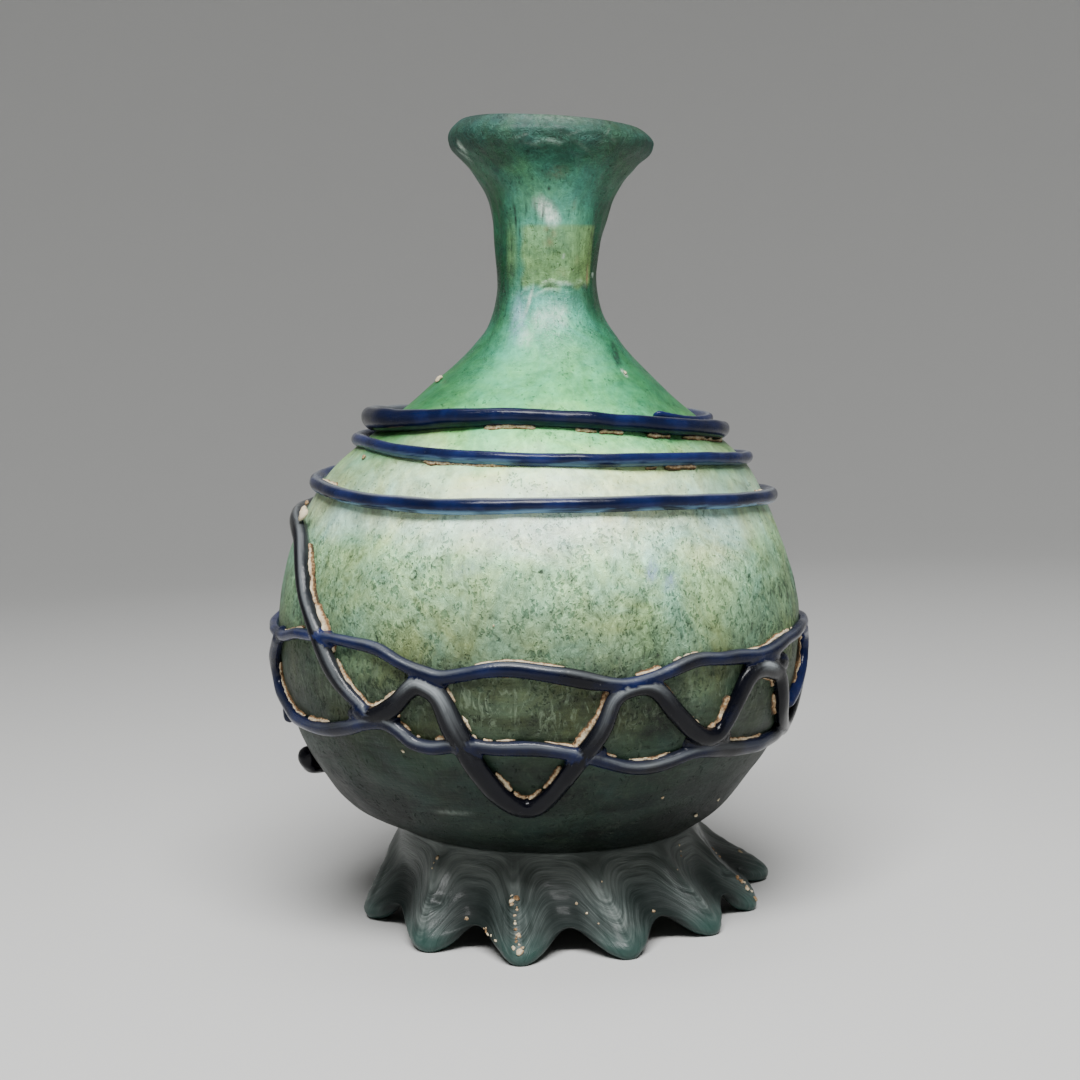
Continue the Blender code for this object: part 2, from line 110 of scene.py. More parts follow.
WAVE = (
    (-21.5, SHELF_HEIGHT), (-18.3, 48.2), (-15, 42.4), (-11, 35.8), (-6, 31), (0, V_DEPTH),
    (5, 31.4), (10, 38), (14, 43.8), (16.4, 48.4), (20.5, SHELF_HEIGHT), (24.5, 49.3),
    (29.5, 45.2), (34.5, 41.5), (38.5, 40), (42, 40.8), (45, 45.8), (48.2, 50.2), (52, 51.1),
)
WAVE_ARMS = 17
ZIGZAG_START = (
    (-40.5, 45.4), (-37, 44), (-33.5, 44.5), (-29.6, 46.4), (-26.8, 48.7), (-24.6, 50.1),
)
ZIGZAG_END = ((266.5, 26.5), (271, 28.1), (274.5, 29.8), (276.5, 31))
ZIGZAG_SIZE = (
    (-40, 2.8, 1.8), (-31, 3.2, 1.9), (-24, 3.8, 2), (-10, 4, 2.1), (-1, 3.1, 1.9),
    (8, 3.6, 2), (15, 2.8, 1.8), (36, 2.8, 1.8), (50, 3.6, 2), (60, 2.9, 1.8),
    (140, 3.4, 1.9), (255, 3, 1.6), (267, 3, 1.8), (272, 4.4, 3.2), (276.5, 3.6, 2.6),
)
UPPER_FRONT = (
    (-71, 54.8), (-58, 56.2), (-47, 56.7), (-38, 56.5), (-33, 55.7), (-28, 53.9), (-23.5, 52.6),
    (-19.5, 51.9), (-15, 52.6), (-10, 53.4), (-4, 53.5), (4, 52.6), (11, 51.3), (16, 50.9),
    (21, 51.5), (26, 52.3), (33, 53.9), (40, 53.7), (50, 53.3), (57, 53.7), (65, 54.9), (76, 55.6),
)
UPPER_SIZE = (
    (-72, 1.7, 1.2), (-47, 1.8, 1.3), (-33, 2.2, 1.4), (-10, 2.2, 1.4), (3, 2.8, 1.6),
    (9, 2.8, 1.5), (16, 2.2, 1.4), (45, 2.3, 1.4), (76, 2, 1.3), (289, 1.7, 1.2),
)
UPPER_DIP = 52
UPPER_RISE = 55.2
UPPER_WAVE = ((-40, UPPER_RISE), (-21, UPPER_DIP), (0, UPPER_RISE), (18, UPPER_DIP))
UPPER_LAST = (257, UPPER_RISE)
LOWER_FRONT = (
    (-71, 54.6), (-76, 51.6), (-81, 47.6), (-80.5, 43.8), (-75, 41.4), (-68, 39.8), (-59, 39.3),
    (-50, 39.9), (-43, 41.2), (-38, 42.5), (-33, 42.8), (-29.5, 41.5), (-26.5, 39.8), (-22, 39.4),
    (-15.5, 40.3), (-8, 39.6), (1, 39.5), (8, 38.7), (14, 37.1), (19, 35.9), (24, 35.5),
    (29, 36.2), (35, 37.5), (42, 37.3), (53, 36.3), (63, 36.1), (75, 36.8),
)
RIGHT_STRAND = ((76, 55.5), (82, 52.6), (82, 48.6), (77, 44.6), (69, 41.6))
LOWER_SIZE = (
    (-81, 2.2, 1.5), (-60, 2.2, 1.5), (-38, 2.6, 1.6), (-26, 2.2, 1.4), (2, 2.4, 1.4),
    (22, 2.2, 1.4), (40, 2.9, 1.6), (62, 2.9, 1.6), (76, 2.2, 1.4),
)
FINE_SIZE = ((0, 1.9, 1.4),)
LOWER_HEIGHT = 39.2
LOWER_SWAY = 2.2
LOWER_BACK_SPAN = (82, 278)
LOWER_SWAYS = 5
LOWER_BACK_KNOTS = 14

# -------------------------------------------------------------------- curves
def curve(knots, per_stretch, period=None):
    """Catmull-Rom points through the knots; with a period the curve closes."""
    pts = [np.array(knot, float) for knot in knots]
    if period is None:
        pts = [2 * pts[0] - pts[1]] + pts + [2 * pts[-1] - pts[-2]]
    else:
        pts = [pts[-1] - period] + pts + [pts[0] + period, pts[1] + period]
    t = (np.arange(per_stretch) / per_stretch)[:, None]
    runs = []
    for p0, p1, p2, p3 in zip(pts, pts[1:], pts[2:], pts[3:]):
        runs.append(0.5 * (2 * p1 + (p2 - p0) * t + (2 * p0 - 5 * p1 + 4 * p2 - p3) * t ** 2
                           + (3 * p1 - p0 - 3 * p2 + p3) * t ** 3))
    return np.concatenate(runs + [pts[-2][None]])


def spaced(points, spacing):
    """How far along a polyline its points lie, and evenly spaced distances along it."""
    steps = np.linalg.norm(np.diff(points, axis=0), axis=1)
    lengths = np.concatenate(([0.0], np.cumsum(steps)))
    return lengths, np.linspace(0.0, lengths[-1], max(2, round(lengths[-1] / spacing) + 1))


def at_lengths(points, lengths, marks):
    return np.stack([np.interp(marks, lengths, column) for column in points.T], 1)


def evenly(points, spacing):
    """A polyline's points again, evenly spaced along it."""
    return at_lengths(points, *spaced(points, spacing))


def ripples(points, wavelength, seed, waves=28):
    """A smooth random field of about unit height, as a sum of plane waves."""
    rng = np.random.default_rng(seed)
    directions = unit(rng.normal(size=(waves, points.shape[1])))
    pace = 2 * np.pi / wavelength * rng.uniform(0.6, 1.5, waves)
    phase = rng.uniform(0, 2 * np.pi, waves)
    return np.sin(points @ (directions * pace[:, None]).T + phase).sum(1) * math.sqrt(2 / waves)


def unit(vectors):
    return vectors / np.linalg.norm(vectors, axis=-1, keepdims=True)


def bell(value, middle, width):
    return np.exp(-((value - middle) / width) ** 2)


def step(value, low, high):
    """A smooth step from 0 at low to 1 at high."""
    share = np.clip((value - low) / (high - low), 0, 1)
    return share * share * (3 - 2 * share)


def round_angles(count):
    """Angles evenly spaced round a full turn, in radians."""
    return np.arange(count) * 2 * np.pi / count


def gap_between(azimuth, middle):
    """The turn from one azimuth to another, within half a turn either way."""
    return (azimuth - middle + 180.0) % 360.0 - 180.0


FINE_OUTLINE = curve(OUTLINE, 12)
FINE_DRIFT = curve(AXIS_DRIFT, 12)


def wall_radius(height):
    return np.interp(height, FINE_OUTLINE[:, 1], FINE_OUTLINE[:, 0])


def lean(points):
    """Carry points from the vessel's own frame into the world."""
    angle = math.radians(LEAN)
    x, y, z = points[..., 0], points[..., 1], points[..., 2] - LEAN_PIVOT[2]
    return np.stack([x * math.cos(angle) + z * math.sin(angle) + LEAN_PIVOT[0], y,
                     z * math.cos(angle) - x * math.sin(angle) + LEAN_PIVOT[2]], -1)


def place(azimuth, radius, height):
    """World points of the vessel, with the axis's drift, the rim's tip and the lean."""
    azimuth, radius, height = np.broadcast_arrays(azimuth, radius, height)
    angle = np.radians(azimuth)
    x = radius * np.sin(angle)
    y = -radius * np.cos(angle)
    rise = np.clip((height - RIM_TIP_FROM) / (RIM_HEIGHT - RIM_TIP_FROM), 0, 1)
    drift = np.interp(height, FINE_DRIFT[:, 0], FINE_DRIFT[:, 1])
    lip = np.clip((height - RIM_HEIGHT) / (LIP_HEIGHT - RIM_HEIGHT), 0, 1)
    tip = math.tan(math.radians(RIM_TIP)) * rise ** 2 + math.tan(math.radians(LIP_TIP)) * lip
    return lean(np.stack([x + drift, y, height - tip * x], -1))


def wall_points(azimuth, height):
    """Points on the outside of the wall, and the wall's normals there."""
    here = place(azimuth, wall_radius(height), height)
    up = place(azimuth, wall_radius(height + 0.5), height + 0.5) - here
    across = place(azimuth + 0.5, wall_radius(height), height) - here
    return here, unit(np.cross(across, up))


# -------------------------------------------------------------------- meshes
def ring_faces(rings, size, closed=False, capped=False):
    """Quads between rings of points, numbered ring by ring, with both ends capped
    or the last ring joined to the first."""
    faces = []
    for i in range(rings if closed else rings - 1):
        near, far = i * size, (i + 1) % rings * size
        for k in range(size):
            n = (k + 1) % size
            faces.append((near + k, near + n, far + n, far + k))
    if capped:
        last = (rings - 1) * size
        faces += [tuple(range(size - 1, -1, -1)), tuple(range(last, last + size))]
    return faces


def joined(shells):
    """One array of points and one list of faces from several of both."""
    points, faces, start = [], [], 0
    for own_points, own_faces in shells:
        points.append(own_points)
        faces += [tuple(start + v for v in face) for face in own_faces]
        start += len(own_points)
    return np.concatenate(points), faces


def write_fields(mesh, fields):
    """Store values at a mesh's points for its material to read."""
    for key, values in fields.items():
        layer = mesh.attributes.new(key, "FLOAT", "POINT")
        layer.data.foreach_set("value", np.asarray(values, np.float32).ravel())


def link(name, data):
    """A new object of the scene."""
    obj = bpy.data.objects.new(name, data)
    bpy.context.scene.collection.objects.link(obj)
    return obj


def build(name, points, faces, material, fields=()):
    """A smooth-shaded object in metres from points in millimetres."""
    mesh = bpy.data.meshes.new(name)
    mesh.from_pydata((np.asarray(points) * MM).tolist(), [], faces)
    mesh.validate()
    mesh.shade_smooth()
    write_fields(mesh, dict(fields))
    mesh.materials.append(material)
    return link(name, mesh)


# ----------------------------------------------------------------- materials
class Value:
    """A socket of a node tree; sums and products of it become Math nodes."""

    def __init__(self, shader, socket):
        self.shader, self.socket = shader, socket

    def math(self, operation, other=0.0):
        return self.shader.node("Math", {0: self, 1: other}, operation=operation)

    def __add__(self, other):
        return self.math("ADD", other)

    def __sub__(self, other):
        return self.math("SUBTRACT", other)

    def __mul__(self, other):
        return self.math("MULTIPLY", other)

    def __abs__(self):
        return self.math("ABSOLUTE")

    def clamped(self):
        """The result of the last sum or product, held between 0 and 1."""
        self.socket.node.use_clamp = True
        return self

    def to(self, low, high, to_low=0.0, to_high=1.0):
        """Map low..high to to_low..to_high, and hold it there."""
        return self.shader.node("MapRange", {"Value": self, "From Min": low, "From Max": high,
                                             "To Min": to_low, "To Max": to_high})


class Shader:
    """A material's node tree, with short calls for the nodes used here."""

    def __init__(self, name):
        self.material = bpy.data.materials.new(name)
        self.material.use_nodes = True
        self.tree = self.material.node_tree

    def node(self, kind, inputs=(), output=0, **settings):
        """One output of a new node."""
        made = self.tree.nodes.new("ShaderNode" + kind)
        for key, value in settings.items():
            setattr(made, key, value)
        for key, value in dict(inputs).items():
            self.feed(made.inputs[key], value)
        return Value(self, made.outputs[output])

    def feed(self, socket, value):
        if isinstance(value, Value):
            self.tree.links.new(value.socket, socket)
        else:
            socket.default_value = (*value, 1.0) if socket.type == "RGBA" else value

    def surface(self, **inputs):
        """Feed the surface, and return the material."""
        for key, value in inputs.items():
            self.feed(self.tree.nodes["Principled BSDF"].inputs[key.replace("_", " ")], value)
        return self.material

    def field(self, name):
        return self.node("Attribute", output="Fac", attribute_name=name)

    def place(self, *stretch):
        """Object coordinates in millimetres, stretched by the given factors."""
        scale = tuple(factor / MM for factor in stretch or (1, 1, 1))
        here = self.node("TexCoord", output="Object")
        return self.node("Mapping", {"Vector": here, "Scale": scale})

    def vector(self, x, y, z=0.0):
        return self.node("CombineXYZ", {"X": x, "Y": y, "Z": z})

    def noise(self, where, scale, detail=3, rough=0.55, twist=0, output=0):
        return self.node("TexNoise", {"Vector": where, "Scale": scale, "Detail": detail,
                                      "Roughness": rough, "Distortion": twist}, output)

    def cells(self, where, scale):
        return self.node("TexVoronoi", {"Vector": where, "Scale": scale})

    def shifted(self, where, scale, amount):
        """A place shifted by noise, by up to about the given amount."""
        shift = self.noise(where, scale, 2, 0.5, output="Color")
        for operation, other in (("SUBTRACT", (0.5,) * 3), ("MULTIPLY", (2 * amount,) * 3),
                                 ("ADD", where)):
            shift = self.node("VectorMath", {0: shift, 1: other}, operation=operation)
        return shift

    def ramp(self, value, stops):
        """Colour by value; stops are (place, red, green, blue), in order."""
        made = self.node("ValToRGB", {"Fac": value})
        elements = made.socket.node.color_ramp.elements
        for spot, *_ in stops[1:-1]:
            elements.new(spot)
        for element, (spot, *colour) in zip(elements, stops):
            element.position = spot
            element.color = (*colour, 1.0)
        return made

    def mix(self, share, a, b, blend="MIX"):
        return self.node("Mix", {0: share, 6: a, 7: b}, 2, data_type="RGBA", blend_type=blend)

    def product(self, a, b):
        return self.mix(1.0, a, b, "MULTIPLY")

    def bump(self, height, depth, under=None):
        """Bump of a height field over another; depth in millimetres."""
        over = {} if under is None else {"Normal": under}
        return self.node("Bump", {"Height": height, "Distance": depth * MM, **over})


# Colour of the wall, foot to rim: (height, red, green, blue). Besides the glass's own green and
# milky film, it holds painted shade that darkens the lower body, and a painted highlight,
# near-white, about 80 mm up.
WALL_HUES_AND_PAINTED_LIGHT = (
    (13, 0.003, 0.006, 0.005), (20, 0.004, 0.009, 0.007), (28, 0.006, 0.014, 0.01),
    (36, 0.013, 0.029, 0.018), (44, 0.03, 0.042, 0.022), (50, 0.051, 0.072, 0.042),
    (53, 0.1, 0.138, 0.076), (57, 0.18, 0.26, 0.145), (65, 0.26, 0.41, 0.24),
    (73, 0.42, 0.68, 0.41), (80, 0.8, 0.98, 0.78), (87, 0.74, 0.98, 0.6), (92, 0.3, 0.76, 0.31),
    (98, 0.105, 0.48, 0.21), (106, 0.09, 0.43, 0.25), (112, 0.11, 0.45, 0.3),
    (117, 0.1, 0.31, 0.215), (123, 0.07, 0.22, 0.14), (130, 0.105, 0.35, 0.235),
    (138, 0.085, 0.27, 0.185), (143, 0.03, 0.096, 0.066), (147, 0.025, 0.072, 0.055),
    (150, 0.026, 0.056, 0.045),
)
HEIGHT_SPAN = 150.0          # height that the level field counts as 1


def weathered_glass():
    """The vessel: green glass under a milky film, pitted, streaked and stained, with painted shade
    and painted highlights in its colour.

    Fields: level is the height, which sets a colour carrying painted shade low down and a painted
    highlight on the upper belly; worn the pitting, drawn the neck's vertical streaks, thrown the
    level ones, swirled the rim's, wispy the milk between the threads, clear the painted shade,
    darker and greener, towards the flanks, pale, dark, tan, olive and bluish the marks, some pale
    ones painted highlights and two dark ones a painted shadow, and matt how rough the surface is.
    """
    s = Shader("weathered_green_glass")
    here = s.place()
    level, worn, drawn, thrown = (s.field(name) for name in ("level", "worn", "drawn", "thrown"))
    wander = s.noise(here, 0.16, 4, 0.6).to(0.25, 0.75, -0.012, 0.012)
    # The colour by height carries painted shade low down and a painted highlight on the upper
    # belly.
    hue_and_painted_light = s.ramp(level + wander, [(height / HEIGHT_SPAN, *colour) for height, *colour in WALL_HUES_AND_PAINTED_LIGHT])
    # Slow drifts of colour: yellower, bluer, and paler or deeper.
    warm = s.noise(here, 0.075, 5, 0.66, 0.6).to(0.36, 0.64)
    hue_and_painted_light = s.product(hue_and_painted_light, s.mix(warm, (0.82, 1, 1.1), (1.09, 1, 0.74)))
    clouds = s.noise(here, 0.12, 6, 0.72, 1).to(0.28, 0.72, -0.26, 0.26)
    mottle = s.noise(s.place(1, 1, 0.75), 0.42, 5, 0.66, 0.4)
    blotch = mottle.to(0.32, 0.68, -0.38, 0.38) * worn.to(0, 1, 0.6, 1)
    # Pits: small dark flecks in drifts, with crumbs of pale film between them.
    reach = worn.to(0, 1, 0.17, 0.4) + s.noise(here, 0.24, 4, 0.6).to(0.34, 0.66, -0.28, 0.16)
    margin = reach - s.cells(s.shifted(s.place(1.2, 1.2, 0.75), 0.8, 1.4), 1)
    pitted = margin.to(-0.05, 0.13)
    halo = (margin.to(-0.2, -0.06) - margin.to(-0.06, 0.04)) * worn
    crumb = s.noise(s.place(1, 1, 0.75), 0.62, 5, 0.72, 1.5)
    film = crumb.to(0.51, 0.61) * worn
    dusk = crumb.to(0.49, 0.38) * worn
    streak = s.noise(s.place(1, 1, 0.07), 1.1, 3, 0.6, 0.3).to(0.3, 0.7, -0.2, 0.2) * drawn
    scratch = s.noise(s.place(1, 1, 0.05), 2.1, 2, 0.5, 0.2).to(0.31, 0.37, 1, 0) * drawn
    # Swirls: fine pale lines where the glass was folded and turned in at the rim.
    swirl = abs(s.noise(s.place(1, 1, 1.5), 0.34, 3, 0.55, 2) - 0.5)
    swirl = swirl.to(0.01, 0.06, 1, 0) * s.field("swirled")
    ring = s.noise(s.place(0.1, 0.1, 1.5), 0.75, 4, 0.65, 0.4).to(0.3, 0.72, -0.26, 0.46)
    pool = s.noise(s.place(0.5, 0.5, 1.3), 0.13, 4, 0.62, 0.6).to(0.36, 0.66, -0.4, 0.9)
    ring = (ring + pool) * thrown
    wisp = s.noise(s.place(1, 1, 0.45), 0.5, 4, 0.62, 2.2).to(0.53, 0.66) * s.field("wispy")
    shade = (clouds + blotch + (streak + ring) + 1.0 + film * 0.42 - dusk * 0.56 - scratch * 0.3
             + swirl * 0.6 + halo * 0.17)
    colour = s.mix(wisp * 0.6, s.product(hue_and_painted_light, shade), (0.19, 0.25, 0.165))
    # Thin milky pools lie on the dark lower body.
    milk = pool.to(0.2, 0.9, 0, 0.42) * thrown * level.to(0.14, 0.21)
    colour = s.mix(milk, colour, (0.042, 0.07, 0.056))
    colour = s.mix(pitted * 0.62, colour, s.product(colour, (0.26, 0.38, 0.36)))
    # Painted shade: darker and greener towards the flanks.
    colour = s.mix(s.field("clear"), colour, s.product(colour, (0.105, 0.185, 0.125)))
    # Marks: stains, frosted places and dark flaws; some pale marks are painted highlights, and two
    # dark ones are a painted shadow.
    rag = s.noise(s.place(1, 1, 0.5), 1.2, 4, 0.7).to(0.36, 0.6, 0.2, 1)
    olive = s.product((0.165, 0.265, 0.08), shade + blotch)
    for field, strength, target in (
            ("olive", 0.85, olive), ("pale", rag, (0.8, 0.95, 0.83)),
            ("bluish", rag, (0.3, 0.43, 0.56)), ("tan", rag, (0.26, 0.19, 0.1)),
            ("dark", rag, (0.012, 0.025, 0.02))):
        colour = s.mix((s.field(field) * strength).clamped(), colour, target)
    grain = s.noise(here, 2.6, 3, 0.65)
    gloss = s.field("matt") + grain.to(0.3, 0.7, -0.05, 0.05) + clouds.to(-0.26, 0.26, -0.07, 0.07)
    normal = s.bump(film - pitted * 1.5, 0.085)
    normal = s.bump(mottle + grain * 0.16, 0.22, normal)
    normal = s.bump(swirl, 0.08, normal)
    normal = s.bump(streak + ring * 0.4, 0.24, normal)
    return s.surface(Base_Color=colour, Roughness=(gloss + pitted * 0.18).clamped(), Normal=normal,
                     IOR=1.5, Transmission_Weight=0.1, Specular_IOR_Level=0.2, Coat_Weight=0.03,
                     Coat_Roughness=0.22)


def foot_glass():
    """The foot: dark grey-green glass, glossy, with flow lines round the arches, painted light on
    the upper skirt and painted shade in the valleys between the toes.
    """
    s = Shader("dark_green_glass")
    flow, turn_x, turn_y, ridge, shaded_valley = (
        s.field(name) for name in ("flow", "turn_x", "turn_y", "ridge", "shaded_valley"))
    drape = s.vector(flow, turn_x, turn_y)
    lines = s.noise(drape, 0.95, 4, 0.62, 0.35)
    fine = s.noise(drape, 3.4, 3, 0.62, 0.2)
    # Down the toes the glass was pulled out, and the lines run with the toe.
    pulled = s.noise(s.vector(flow * 0.1, turn_x * 14.0, turn_y * 14.0), 0.9, 3, 0.6, 0.2)
    smoke = s.noise(s.place(), 0.1)
    shade = (lines.to(0.32, 0.68, 0.16, 0.62) + fine.to(0.3, 0.7, -0.24, 0.24)
             + ridge * pulled.to(0.3, 0.7, -0.2, 0.3) + smoke.to(0.3, 0.7, -0.2, 0.2)).clamped()
    colour = s.ramp(shade, ((0, 0.011, 0.017, 0.015), (0.5, 0.047, 0.06, 0.056),
                            (1, 0.14, 0.162, 0.152)))
    # Painted light: the upper skirt, which lies in the belly's shadow, is made a paler grey.
    colour = s.mix(s.field("skirt_painted_light") * lines.to(0.3, 0.7, 0.3, 1), colour, (0.2, 0.22, 0.205))
    # Painted shade: the valleys between the toes are made nearly black.
    colour = s.mix(shaded_valley * 0.9, colour, (0.005, 0.009, 0.008))
    colour = s.mix(s.field("tip") * smoke.to(0.25, 0.75, 0.4, 0.9), colour, (0.022, 0.066, 0.055))
    normal = s.bump(pulled * ridge, 0.1, s.bump(fine, 0.09, s.bump(lines, 0.17)))
    return s.surface(Base_Color=colour, Roughness=lines.to(0.3, 0.7, 0.28, 0.42) + shaded_valley * 0.3,
                     Normal=normal, IOR=1.5, Specular_IOR_Level=0.2, Coat_Weight=0.05,
                     Coat_Roughness=0.16)


def thread_glass():
    """The threads: cobalt glass, nearly black where thick, dulled by weathering, with a painted
    sheen along their tops.
    """
    s = Shader("cobalt_glass")
    here = s.place()
    drawn = s.noise(s.vector(s.field("along"), s.field("across")), 0.9, 3, 0.6, 0.3)
    cloud = s.noise(here, 0.14, 4, 0.6)
    dull = (drawn * 0.45 + cloud * 0.55).to(0.42, 0.62)
    depth = (cloud.to(0.3, 0.7, -0.14, 0.28) + s.field("deep")).clamped()
    colour = s.ramp(depth, ((0, 0.011, 0.019, 0.085), (0.35, 0.003, 0.006, 0.028),
                            (0.75, 0.0007, 0.0009, 0.003)))
    colour = s.mix(dull * 0.05, colour, (0.055, 0.058, 0.07))
    # Painted sheen: a pale grey film along the tops of the threads and on the humps of the zigzag.
    film = (s.field("film") * drawn.to(0.32, 0.6, 0.4, 1)).clamped()
    colour = s.mix(film, colour, (0.24, 0.262, 0.275))
    # Light comes through the thin lower edge of the coil.
    glint = (s.field("fringe") * drawn.to(0.42, 0.52)).clamped()
    colour = s.mix(glint, colour, (0.12, 0.23, 0.38))
    pinholes = s.cells(here, 0.75).to(0, 0.1, 1, 0) * cloud.to(0.54, 0.6)
    colour = s.mix(pinholes * 0.5, colour, (0.16, 0.16, 0.17))
    normal = s.bump(pinholes * -1.0, 0.15, s.bump(drawn, 0.07))
    normal = s.bump(s.noise(here, 1.9), 0.04, normal)
    return s.surface(Base_Color=colour, Roughness=dull.to(0, 1, 0.13, 0.24), Normal=normal,
                     IOR=1.52, Specular_IOR_Level=0.14, Coat_Weight=0.06, Coat_Roughness=0.08)


def crust_earth():
    """Burial crust: cream lime, brown at its edges, tan to rusty where it is thick."""
    s = Shader("burial_crust")
    here = s.place()
    crumb = s.noise(here, 2.4, 4, 0.7)
    rust = (s.noise(here, 0.3, 3, 0.6).to(0.3, 0.7, -0.1, 0.45) + crumb.to(0.3, 0.7, -0.34, 0.34)
            + s.field("rust").to(0, 1, -0.15, 0.4) + s.field("edge") * 0.75).clamped()
    colour = s.ramp(rust, ((0, 0.6, 0.52, 0.36), (0.3, 0.45, 0.34, 0.21), (0.55, 0.28, 0.17, 0.085),
                           (0.8, 0.14, 0.075, 0.032), (1, 0.05, 0.035, 0.02)))
    return s.surface(Base_Color=colour, Roughness=0.85, Normal=s.bump(crumb, 0.16),
                     Specular_IOR_Level=0.25)


# -------------------------------------------------------------------- vessel
COLUMNS = 280
WALL_SPACING = 1.0
NECK_SPACING = 0.42          # closer, to carry the creases of the neck and rim
NECK_FROM = 110.0
UNDER_SPACING = 2.0
INNER_SPACING = 2.4


def profile():
    """The vessel's section, underside to floor, as (radius, height, side), where
    side is 0 outside, 1 inside."""
    under = evenly(curve(UNDERSIDE, 8), UNDER_SPACING)
    low = FINE_OUTLINE[:, 1] <= NECK_FROM
    belly = evenly(FINE_OUTLINE[low], WALL_SPACING)
    neck = evenly(np.concatenate([belly[-1:], FINE_OUTLINE[~low]]), NECK_SPACING)
    outside = np.concatenate([belly[:-1], neck])
    lip = evenly(curve(OUTLINE[-2:] + LIP, 8)[8:], NECK_SPACING)
    path = curve(OUTLINE, 6)[2:-2]
    along = unit(np.gradient(path, axis=0))
    inner = path + WALL * np.stack([-along[:, 1], along[:, 0]], 1)
    inner = inner[(inner[:, 1] < LIP[-1][1] - 1.0) & (inner[:, 0] > 0)]
    inside = evenly(np.concatenate([LIP[-1:], inner[::-1], FLOOR]), INNER_SPACING)
    runs = [(under, 0.0), (outside, 0.0), (lip[1:], 0.0), (inside[1:], 1.0)]
    return np.concatenate([np.column_stack([run, np.full(len(run), side)]) for run, side in runs])


# Marks on the wall, by field: how soft their edges are, and rows of (azimuth, height,
# half width, half height, slant in degrees, strength), millimetres measured on the wall.
MARKS = {
    # Pale marks: film and specks, with painted highlights on the upper belly at 79 mm, on the neck
    # at 131 to 135 mm, on the lip's crest at 149 mm and low down at 25.8 mm; those on the shoulder
    # at 113 mm are partly painted highlight.
    "pale": (0.8, (
        (-4, 133.2, 2.1, 1.3, -42, 0.95), (2.5, 131.6, 1.5, 1.1, -40, 0.95),
        (-9, 134.6, 0.8, 1.1, 0, 0.35), (-5, 113.2, 2.2, 1.6, 30, 0.35),
        (9, 113.6, 1.8, 2, 0, 0.38), (-20.5, 116.2, 0.3, 2.4, -14, 0.6),
        (-66, 144.4, 0.9, 0.8, 20, 0.8), (-72, 143, 0.6, 1.2, 40, 0.35),
        (-20, 109.6, 1.2, 1.6, 20, 0.35), (-1, 149.2, 9, 0.9, 0, 0.08),
        (18, 124.6, 0.25, 0.25, 0, 0.9), (-17, 145.6, 1.5, 0.2, 14, 0.16),
        (-11, 144.2, 1.2, 0.18, -16, 0.13), (0, 145, 1.9, 0.2, -6, 0.12),
        (13, 146.4, 1.3, 0.18, 22, 0.13), (22, 143.6, 1.4, 0.18, -24, 0.12),
        (33, 147, 0.9, 0.18, 50, 0.14), (37, 145.8, 0.8, 0.16, -40, 0.11),
        (62, 121.3, 0.4, 0.35, 0, 0.8), (47, 103, 0.5, 0.4, 0, 0.9),
        (-22, 25.8, 3.6, 0.35, 4, 0.16), (-3, 79, 13, 4.8, 0, 0.55), (10, 80.6, 2.2, 0.9, 0, 0.55),
        (5, 86, 4, 1.5, 0, 0.4),
    )),
    "dark": (0.6, (
        (-7, 143.6, 2, 0.22, 6, 0.6), (7, 143, 1.6, 0.2, -12, 0.6), (-19, 144.4, 1.3, 0.2, 20, 0.5),
        (26, 145.2, 1.5, 0.22, 12, 0.5), (2, 146.6, 1.6, 0.2, 8, 0.5), (-46, 143, 0.45, 0.9, 30, 1),
        (-50, 144.4, 0.3, 0.5, 20, 0.6), (52.5, 106.4, 0.75, 2.8, -42, 1.4),
        (-43, 122.2, 0.6, 1.4, 0, 0.9), (-38, 131.5, 0.28, 2.2, 0, 0.9),
        (-33, 129.8, 0.24, 1.6, 0, 0.8), (-14, 132.6, 0.25, 2.2, 3, 0.9),
        (-6, 132.4, 0.22, 1.9, -3, 0.9), (-1, 136.8, 0.35, 0.35, 0, 1),
        (-30, 118.8, 0.22, 2.2, 0, 0.7), (40, 146.8, 0.3, 1.3, 0, 0.5),
        (30, 105, 0.25, 0.7, 0, 0.5), (21, 123.4, 0.28, 0.28, 0, 0.9), (-60, 128, 0.6, 3, 0, 0.6),
        (-24, 133.5, 0.22, 1.2, 0, 0.7), (31, 134, 0.25, 0.9, 0, 0.6), (-48, 117, 0.3, 2.4, 0, 0.7),
        (60, 116, 0.5, 2.4, 0, 0.6), (-8, 116.8, 0.35, 0.3, 20, 0.6),
        (5, 140.6, 0.25, 0.25, 0, 0.7), (26.5, 68.4, 0.3, 1.5, -35, 0.55),
        # The two broad dark marks low in the left cell, at -57 and -62 degrees, are painted shadow.
        (20.5, 70.4, 0.25, 0.9, 10, 0.4), (-57, 42.6, 7, 2.6, -28, 0.55),
        (-62, 44.4, 4, 2.4, -20, 0.5),
    )),
    "tan": (0.7, (
        (6, 139.6, 1.7, 1, 10, 0.3), (24, 133.6, 0.5, 1.4, 0, 0.25), (51, 121, 0.28, 1.6, 0, 0.9),
        (1, 127.2, 0.9, 0.9, 0, 0.42), (6, 128.6, 0.6, 0.7, 0, 0.35),
        (-2, 129.6, 0.5, 0.5, 0, 0.35), (17, 121.6, 1, 0.8, 0, 0.22), (34, 124, 0.5, 0.9, 0, 0.2),
    )),
    "olive": (0.8, (
        (22, 60.5, 3, 5.4, 5, 0.42), (30, 71, 3, 2, 0, 0.16), (-44, 126, 1.2, 4.6, 0, 0.4),
        (8, 106, 7, 3.4, 0, 0.2),
    )),
    "bluish": (0.6, (
        (24, 69.6, 1.1, 2, -20, 0.9), (28, 67.6, 1, 1.5, -35, 0.8), (-16, 70, 3, 1.4, 10, 0.25),
        (-30, 113, 1.6, 4, 8, 0.45),
    )),
}
MARKS_REACH = 80             # degrees either side within which a mark can show
